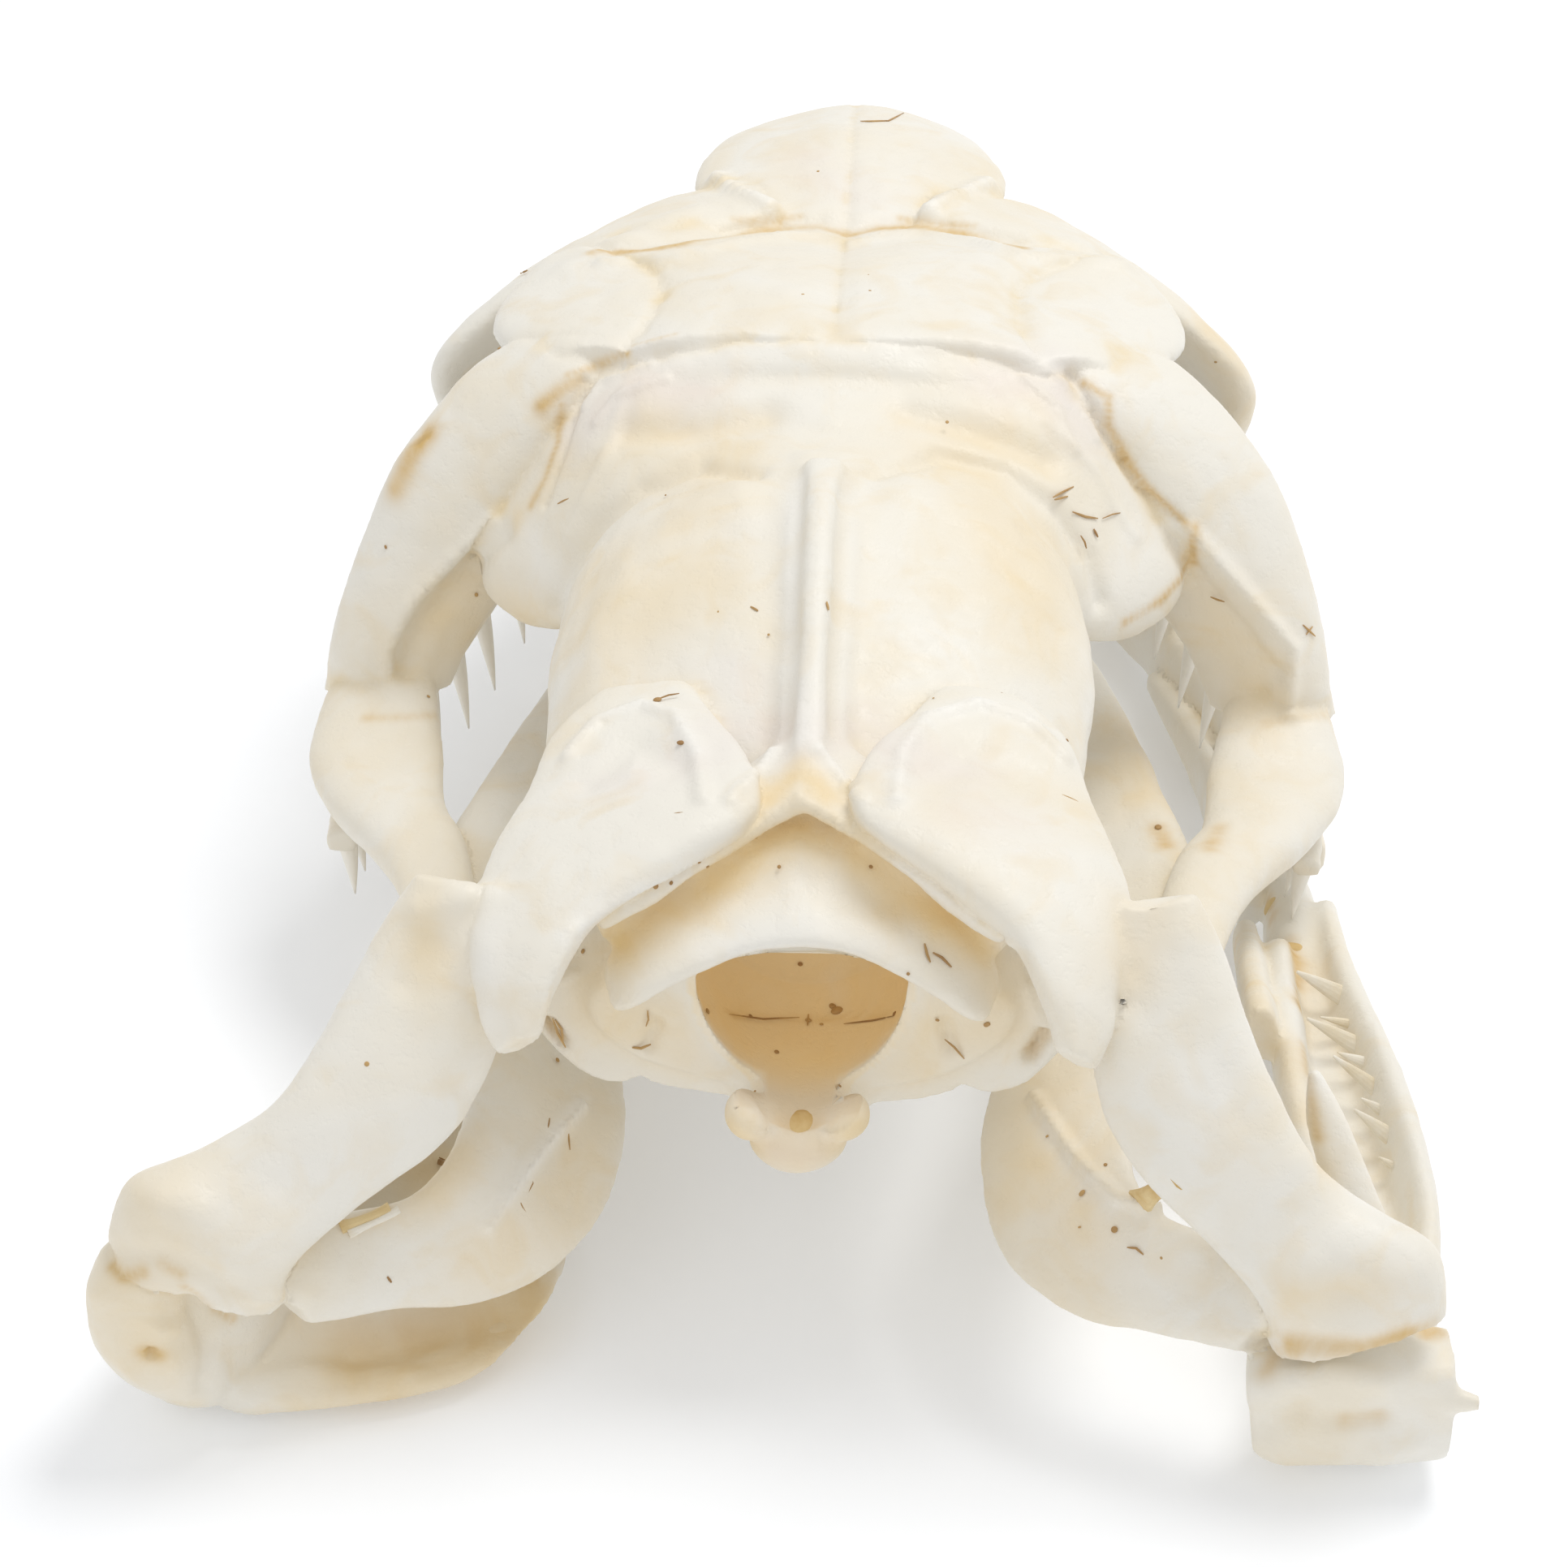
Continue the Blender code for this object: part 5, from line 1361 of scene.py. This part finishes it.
def bone_material(name, offset):
    """Old bone: ivory broken by tan and stained in its seams, with painted shade, painted highlights and
    painted light given off in place of translucency.
    """
    material = bpy.data.materials.new(name)
    material.use_nodes = True
    tree = material.node_tree
    shader = tree.nodes["Principled BSDF"]
    coordinates = tree.nodes.new("ShaderNodeTexCoord")
    shift = tree.nodes.new("ShaderNodeVectorMath")
    shift.operation = "ADD"
    shift.inputs[1].default_value = offset
    tree.links.new(coordinates.outputs["Object"], shift.inputs[0])
    place = shift.outputs[0]
    broad = noise_node(tree, place, 170.0, 4.0, 0.6)
    patchy = noise_node(tree, place, 620.0, 5.0, 0.8)
    grain = noise_node(tree, place, 2600.0, 4.0)
    fine = noise_node(tree, place, 7000.0, 3.0)

    colour = mixed(tree, ramp(tree, broad, 0.40, 0.62), IVORY, CREAM)
    colour = mixed(tree, ramp(tree, patchy, 0.50, 0.72, 0.0, 0.40), colour, TAN)
    # painted shade: tan deepens the colour in creases and hollows
    colour = mixed(tree, times(tree, painted(tree, "hollow_shade"), 0.85), colour, TAN)
    for name, spread, over in COATS:
        share = times(tree, painted(tree, name), ramp(tree, patchy, *spread))
        colour = mixed(tree, share, colour, over)
    colour = mixed(tree, painted(tree, "tooth"), colour, TOOTH_WHITE)
    tree.links.new(colour, shader.inputs["Base Color"])
    tree.links.new(ramp(tree, grain, 0.3, 0.7, 0.40, 0.60), shader.inputs["Roughness"])
    bump = tree.nodes.new("ShaderNodeBump")
    bump.inputs["Strength"].default_value = 0.4
    bump.inputs["Distance"].default_value = 0.00006
    tree.links.new(times(tree, grain, fine, "ADD"), bump.inputs["Height"])
    tree.links.new(bump.outputs["Normal"], shader.inputs["Normal"])
    # painted light: the bone gives off its own colour, more on the walls of the brain's room
    tree.links.new(colour, shader.inputs["Emission Color"])
    painted_glow = ramp(tree, painted(tree, "room"), 0.0, 1.0, PAINTED_GLOW, PAINTED_GLOW_ROOM)
    tree.links.new(painted_glow, shader.inputs["Emission Strength"])
    shader.inputs["Specular IOR Level"].default_value = 0.4
    return material


# Dressing

def finish_piece(item, nodes, material):
    for polygon in item.data.polygons:
        polygon.use_smooth = True
    item.data.transform(Matrix.Translation(SHIFT * MM))
    clamp_to_cad(item)
    item.data.materials.clear()
    item.data.materials.append(material)
    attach(item, "root")
    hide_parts(*nodes)


def dress():
    bones = bone_bodies()
    skin = skin_of(bones)
    eye = Eye(skin.data)
    relief = marks_of(eye, RELIEF)
    smooth_points = read_points(skin.data)
    owner, gap = nearest_bones(smooth_points, bones)
    owner = settle_owners(skin.data, owner, len(bones))
    names = list(bones)
    across = np.abs(smooth_points[:, 0])
    middle = np.isin(owner, [names.index(name) for name in MEETING])
    gap = np.where(middle, np.minimum(gap, 2 * across), gap)
    points = relieve(smooth_points, read_normals(skin.data), gap, relief)
    values = {
        # painted shade in creases and hollows
        "hollow_shade": hollow_shade_of(skin, smooth_points),
        "seam": np.exp(-(gap / SEAM_WIDTH) ** 2),
        # ochre stains, with painted shadow and shade in some lines
        "stain_and_shade": strongest_mark(smooth_points, marks_of(eye, STAINS_AND_SHADE)),
        "room": in_room(smooth_points),
        # painted shade and painted light in amber, and the same amber on the walls of the brain's room
        "warm_tone_and_shade": np.maximum(in_room(smooth_points), strongest_mark(smooth_points, marks_of(eye, WARM_TONE_AND_SHADE))),
        "lilac": strongest_mark(smooth_points, marks_of(eye, LILAC)),
        # painted highlights along ridges and rims
        "pale": strongest_mark(smooth_points, marks_of(eye, PAINTED_HIGHLIGHTS)),
    }
    faces = np.array([tuple(polygon.vertices) for polygon in triangulated(skin).polygons])
    discard(skin)
    materials = {
        "skull_bone": bone_material("skull_bone_aged_and_painted_light", (0.0, 0.0, 0.0)),
        "jaw_bone": bone_material("jaw_bone_aged_and_painted_light", (0.01, 0.05, 0.04)),
    }
    teeth = all_teeth()
    face_owner = owner[faces[:, 0]]
    centres = points[faces].mean(axis=1)
    right = centres[:, 0] > 0
    for number, name in enumerate(names):
        own = face_owner == number
        if name == "braincase":
            parts = {name: (own, BRAINCASE_NODES)}
        elif name in MEETING:
            parts = {name + "_right": (own & right, None), name + "_left": (own & ~right, None)}
        else:
            parts = {name: (own, None)}
        for part, (chosen, nodes) in parts.items():
            piece, used = piece_of(part + "_bone", points, faces, chosen)
            count = len(piece.data.vertices)
            if part in teeth:
                add_bodies(piece, teeth[part])
            whole = len(piece.data.vertices)
            for attribute, numbers in values.items():
                paint(piece, attribute, np.pad(numbers[used], (0, whole - len(used))))
            paint(piece, "tooth", (np.arange(whole) >= count).astype(float))
            slot = "jaw_bone" if part.rsplit("_", 1)[0] in JAW_BONES else "skull_bone"
            finish_piece(piece, nodes or (part,), materials[slot])
    dried_tissue(eye)


# Dried tissue, each piece placed by a pixel of the photograph on what is seen there

# Hairs as lines of pixels
HAIRS = (
    ((1060, 150), (1094, 150), (1117, 138)),
    ((638, 339), (650, 334), (660, 334)),
    ((688, 621), (696, 617), (704, 614)),
    ((1297, 613), (1310, 606), (1322, 600)),
    ((1299, 616), (1315, 612)),
    ((1321, 631), (1337, 637), (1352, 639)),
    ((1358, 639), (1370, 634), (1380, 632)),
    ((1331, 660), (1336, 668), (1338, 676)),
    ((1347, 652), (1352, 662)),
    ((925, 748), (934, 753)),
    ((1018, 742), (1020, 752)),
    ((810, 862), (824, 857), (837, 855)),
    ((1236, 850), (1233, 862)),
    ((586, 785), (594, 788), (597, 793)),
    ((1492, 735), (1502, 739), (1509, 741)),
    ((1605, 770), (1620, 784)),
    ((1609, 782), (1617, 772)),
    ((1304, 984), (1315, 987), (1325, 985)),
    ((541, 1427), (562, 1436), (583, 1446)),
    ((681, 1254), (687, 1272), (697, 1290)),
    ((684, 1256), (692, 1268), (694, 1286)),
    ((653, 1440), (656, 1458), (646, 1479)),
    ((635, 1471), (643, 1488), (653, 1504)),
    ((617, 1492), (611, 1515), (626, 1532)),
    ((592, 1502), (596, 1508)),
    ((703, 1383), (700, 1398), (702, 1417)),
    ((677, 1378), (675, 1390)),
    ((477, 1573), (482, 1580)),
    ((898, 1250), (940, 1256), (985, 1254)),
    ((1040, 1262), (1075, 1258), (1102, 1252)),
    ((1139, 1163), (1142, 1176), (1146, 1186)),
    ((1149, 1174), (1160, 1180), (1172, 1192)),
    ((798, 1245), (799, 1256), (796, 1264)),
    ((779, 1290), (790, 1291), (802, 1286)),
    ((1164, 1280), (1176, 1290), (1188, 1304)),
    ((1389, 1537), (1400, 1538), (1409, 1546)),
    ((996, 1250), (995, 1264)),
    ((828, 1004), (845, 1002)),
    ((1308, 980), (1330, 990)),
)

# Specks: pixel and radius in millimetres
SPECKS = (
    (774, 482, 0.055), (1008, 211, 0.04), (841, 262, 0.04), (989, 363, 0.055), (995, 379, 0.05),
    (1072, 359, 0.07), (1070, 339, 0.04), (1022, 395, 0.035), (1271, 316, 0.04), (615, 429, 0.05),
    (775, 482, 0.04), (978, 581, 0.06), (990, 558, 0.05), (1167, 520, 0.05), (897, 689, 0.05),
    (885, 754, 0.05), (947, 782, 0.035), (1179, 729, 0.05), (1273, 804, 0.08), (1255, 880, 0.05),
    (810, 862, 0.10), (839, 915, 0.10), (742, 814, 0.045), (1315, 912, 0.045), (475, 674, 0.055),
    (588, 787, 0.06), (587, 733, 0.06), (528, 858, 0.05), (743, 814, 0.04), (1271, 803, 0.06),
    (1234, 854, 0.04), (1498, 446, 0.05), (452, 1311, 0.06), (718, 1172, 0.06), (687, 1306, 0.07),
    (775, 1385, 0.05), (1215, 1263, 0.06), (1333, 1470, 0.09), (1373, 1515, 0.08), (1431, 1550, 0.05),
    (1290, 1400, 0.04), (1362, 1435, 0.05), (1330, 1512, 0.04), (986, 1188, 0.06), (872, 1246, 0.08),
    (957, 1296, 0.06), (996, 1257, 0.08), (1031, 1245, 0.14), (1026, 1240, 0.10), (1102, 1249, 0.07),
    (960, 1068, 0.05), (1073, 1068, 0.05), (808, 1092, 0.07), (827, 1088, 0.05), (862, 1062, 0.05),
    (872, 1068, 0.04), (1217, 1262, 0.06), (1155, 1257, 0.05), (925, 1252, 0.06), (1012, 1262, 0.05),
    (690, 1170, 0.04), (1119, 1200, 0.04), (1427, 1019, 0.09), (930, 1345, 0.04), (1035, 1338, 0.04),
    (880, 650, 0.03), (1120, 640, 0.03), (1150, 860, 0.03), (820, 610, 0.035), (1210, 1010, 0.04),
)

# Crusts in pits: pixel, half width and half height in millimetres
PATCHES = (
    ((985, 1381), 0.44, 0.38),
    ((1563, 1116), 0.14, 0.30),
    ((1594, 1166), 0.18, 0.40),
)


def lying(eye, x, y, lift):
    """Point a little above whatever is seen at a pixel, or nothing."""
    seen = eye.aim(x, y)
    return None if seen is None else seen[0] + seen[1] * lift


def thread(points, radius, sides=6):
    """Round closed body through points, tapering to its ends."""
    if len(points) < 2:
        return None
    last = len(points) - 1
    rows = []
    for index, point in enumerate(points):
        ahead = (points[min(index + 1, last)] - points[max(index - 1, 0)]).normalized()
        side = ahead.orthogonal().normalized()
        over = ahead.cross(side)
        thick = radius * (0.35 + 0.65 * math.sin(math.pi * (index + 0.5) / (last + 1)))
        for corner in range(sides):
            angle = 2 * math.pi * corner / sides
            rows.append(point + side * thick * math.cos(angle) + over * thick * math.sin(angle))
    return rows, tube_faces(last, sides)


def hair_bodies(eye):
    """Hairs lying on the bone, leaving out the points where the ground falls away under them."""
    bodies = []
    draw = random.Random(5)
    for line in HAIRS:
        radius = draw.uniform(0.020, 0.034)
        run = []
        for (ax, ay), (bx, by) in zip(line, line[1:]):
            count = max(2, round(math.hypot(bx - ax, by - ay) / 4))
            for step in range(count + (line[-1] == (bx, by))):
                share = step / count
                point = lying(eye, ax + (bx - ax) * share, ay + (by - ay) * share, radius * 0.6)
                if point is not None and (not run or (point - run[-1]).length < 0.8):
                    run.append(point)
        body = thread(run, radius)
        if body:
            bodies.append(body)
    return bodies


def speck_bodies(eye):
    """Flattened crumbs sunk into the bone."""
    bodies = []
    draw = random.Random(9)
    for x, y, radius in SPECKS:
        seen = eye.aim(x, y)
        if seen is None:
            continue
        turn = seen[1].to_track_quat("Z", "Y").to_matrix() @ Matrix.Rotation(draw.uniform(0, 3.1), 3, "Z")
        radii = (radius * draw.uniform(0.6, 1.0), radius, radius * 0.45)
        points, faces = ball((0.0, 0.0, 0.0), radii, sides=6)
        bodies.append(([seen[0] + turn @ point for point in points], faces))
    return bodies


def patch_bodies(eye):
    """Flat ochre crusts lying in pits of the bone."""
    bodies = []
    for (x, y), wide, high in PATCHES:
        seen = eye.aim(x, y)
        if seen is None:
            continue
        turn = seen[1].to_track_quat("Z", "Y").to_matrix()
        points, faces = ball((0.0, 0.0, -0.05), (wide, high, 0.12), sides=14)
        bodies.append(([seen[0] + turn @ point for point in points], faces))
    return bodies


def strand(eye, start, end, width, thickness):
    """Flat band between the points seen at two pixels."""
    ends = [lying(eye, *pixel, -0.1) for pixel in (start, end)]
    if None in ends:
        return None
    run = ends[1] - ends[0]
    across = run.cross((ends[0] - CAMERA_PLACE)).normalized() * width / 2
    stations = []
    for step in range(7):
        share = step / 6
        wide = 1.0 + 0.7 * abs(2 * share - 1) ** 2
        centre = ends[0] + run * share
        stations.append((*(centre - across * wide), *(centre + across * wide), thickness))
    return sweep(stations, steps=2, sides=12)


# Torn blades along the right mandible: pixels of base and tip, width at the base in millimetres
BARBS = (
    ((1650, 1228), (1590, 1196), 0.50),
    ((1660, 1262), (1618, 1252), 0.26),
    ((1668, 1290), (1602, 1254), 0.46),
    ((1678, 1310), (1640, 1296), 0.30),
    ((1690, 1342), (1634, 1300), 0.40),
    ((1698, 1370), (1668, 1352), 0.30),
    ((1708, 1402), (1660, 1366), 0.42),
    ((1714, 1440), (1690, 1424), 0.28),
)

# Bands between two pixels: width and thickness in millimetres, and the tissue
STRANDS = (
    ((420, 1512), (480, 1488), 0.22, 0.25, "ochre"),
    ((430, 1520), (492, 1490), 0.16, 0.22, "pale"),
    ((540, 1427), (584, 1447), 0.09, 0.08, "brown"),
    # tendon between the right quadrate and pterygoid
    ((1404, 1480), (1446, 1452), 0.42, 0.25, "ochre"),
)


def barb(eye, base, tip, width):
    """Flat tapering blade from the bone seen at one pixel towards another."""
    seen = eye.aim(*base)
    if seen is None:
        return None
    reach = (seen[0] - CAMERA_PLACE).length / FOCAL_PIXELS
    run = CAMERA_TURN @ Vector(((tip[0] - base[0]) * reach, (base[1] - tip[1]) * reach, 0.25))
    across = run.cross(seen[0] - CAMERA_PLACE).normalized() * width / 2
    stations = []
    for step in range(7):
        share = step / 6
        wide = 1.0 - 0.85 * share ** 1.3
        centre = seen[0] - seen[1] * 0.15 + run * share
        stations.append((*(centre - across * wide), *(centre + across * wide), 0.20 - 0.12 * share))
    return sweep(stations, steps=2, sides=12)


def dried_material(name, light, dark, rough):
    material = bpy.data.materials.new(name)
    material.use_nodes = True
    tree = material.node_tree
    shader = tree.nodes["Principled BSDF"]
    place = tree.nodes.new("ShaderNodeTexCoord").outputs["Object"]
    patchy = noise_node(tree, place, 900.0, 4.0, 0.5)
    grain = noise_node(tree, place, 4200.0, 3.0)
    tree.links.new(mixed(tree, ramp(tree, patchy, 0.38, 0.62), light, dark), shader.inputs["Base Color"])
    tree.links.new(ramp(tree, grain, 0.3, 0.7, rough - 0.1, rough + 0.1), shader.inputs["Roughness"])
    bump = tree.nodes.new("ShaderNodeBump")
    bump.inputs["Strength"].default_value = 0.5
    bump.inputs["Distance"].default_value = 0.00005
    tree.links.new(grain, bump.inputs["Height"])
    tree.links.new(bump.outputs["Normal"], shader.inputs["Normal"])
    return material


def finish_dried(name, bodies, material):
    bodies = [body for body in bodies if body]
    item = join_bodies(name, bodies)
    item.data.transform(Matrix.Translation(SHIFT * MM))
    clamp_to_cad(item)
    item.data.materials.append(material)
    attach(item, "root")


def dried_tissue(eye):
    """Everything left on the bones by the cleaning."""
    brown = dried_material("dried_hair", (0.52, 0.33, 0.13), (0.34, 0.19, 0.07), 0.6)
    ochre = dried_material("dried_skin", (0.78, 0.62, 0.34), (0.62, 0.42, 0.16), 0.55)
    pale = dried_material("dried_flake", (0.87, 0.83, 0.74), (0.80, 0.71, 0.54), 0.55)
    bands = {"ochre": [], "pale": [], "brown": []}
    for start, end, width, thickness, kind in STRANDS:
        bands[kind].append(strand(eye, start, end, width, thickness))
    finish_dried("dried_hairs", hair_bodies(eye) + speck_bodies(eye) + bands["brown"], brown)
    finish_dried("dried_patches", bands["ochre"] + patch_bodies(eye), ochre)
    barbs = [barb(eye, *row) for row in BARBS]
    finish_dried("dried_flakes", barbs + bands["pale"], pale)


def triangulated(item):
    work = bmesh.new()
    work.from_mesh(item.data)
    bmesh.ops.triangulate(work, faces=work.faces)
    work.to_mesh(item.data)
    work.free()
    return item.data


# Floor, lights and camera

FLOOR_REACH = 900
FLOOR_COLOUR = (0.875, 0.895, 0.93, 1.0)
FLOOR_GLOW = 0.16             # keeps the ground as pale as in the photograph
WORLD_COLOUR = (1.0, 0.995, 0.985, 1.0)
WORLD_LIGHT = 0.69
LIGHT_AIM = (0, 15, 6)

# Lamps: place and size in millimetres, power in watts, colour
LAMPS = {
    "key": ((55, 35, 165), 90, 0.130, (1.0, 0.99, 0.97)),
    "fill": ((-60, -130, 110), 120, 0.020, (1.0, 1.0, 1.0)),
}


def stage():
    corners = [(x * FLOOR_REACH, y * FLOOR_REACH, 0) for x, y in ((-1, -1), (1, -1), (1, 1), (-1, 1))]
    floor = link_mesh("floor", mesh_from("floor", corners, [(0, 1, 2, 3)]))
    material = bpy.data.materials.new("pale_floor")
    material.use_nodes = True
    shader = material.node_tree.nodes["Principled BSDF"]
    shader.inputs["Base Color"].default_value = FLOOR_COLOUR
    shader.inputs["Roughness"].default_value = 0.9
    shader.inputs["Specular IOR Level"].default_value = 0.1
    shader.inputs["Emission Color"].default_value = (1.0, 1.0, 1.0, 1.0)
    shader.inputs["Emission Strength"].default_value = FLOOR_GLOW
    floor.data.materials.append(material)


def area_light(name, place, size, power, colour):
    light = bpy.data.lights.new(name, "AREA")
    light.shape = "DISK"
    light.size = size * MM
    light.energy = power
    light.color = colour
    item = bpy.data.objects.new(name, light)
    item.location = Vector(place) * MM
    item.rotation_euler = (Vector(LIGHT_AIM) - Vector(place)).to_track_quat("-Z", "Y").to_euler()
    bpy.context.scene.collection.objects.link(item)


def lights():
    world = bpy.data.worlds.new("studio")
    bpy.context.scene.world = world
    world.use_nodes = True
    background = world.node_tree.nodes["Background"]
    background.inputs["Color"].default_value = WORLD_COLOUR
    background.inputs["Strength"].default_value = WORLD_LIGHT
    for name, row in LAMPS.items():
        area_light(name, *row)


def camera():
    data = bpy.data.cameras.new("camera")
    data.sensor_width = SENSOR
    data.lens = SENSOR * FOCAL_PIXELS / PHOTO_WIDTH
    data.clip_start = 0.005
    data.clip_end = 20.0
    item = bpy.data.objects.new("camera", data)
    item.location = (CAMERA_PLACE + SHIFT) * MM
    item.rotation_euler = (math.radians(CAMERA_TILT), 0.0, math.radians(CAMERA_YAW))
    bpy.context.scene.collection.objects.link(item)
    bpy.context.scene.camera = item
    bpy.context.scene.view_settings.view_transform = "Standard"


stage()
lights()
camera()
dress()
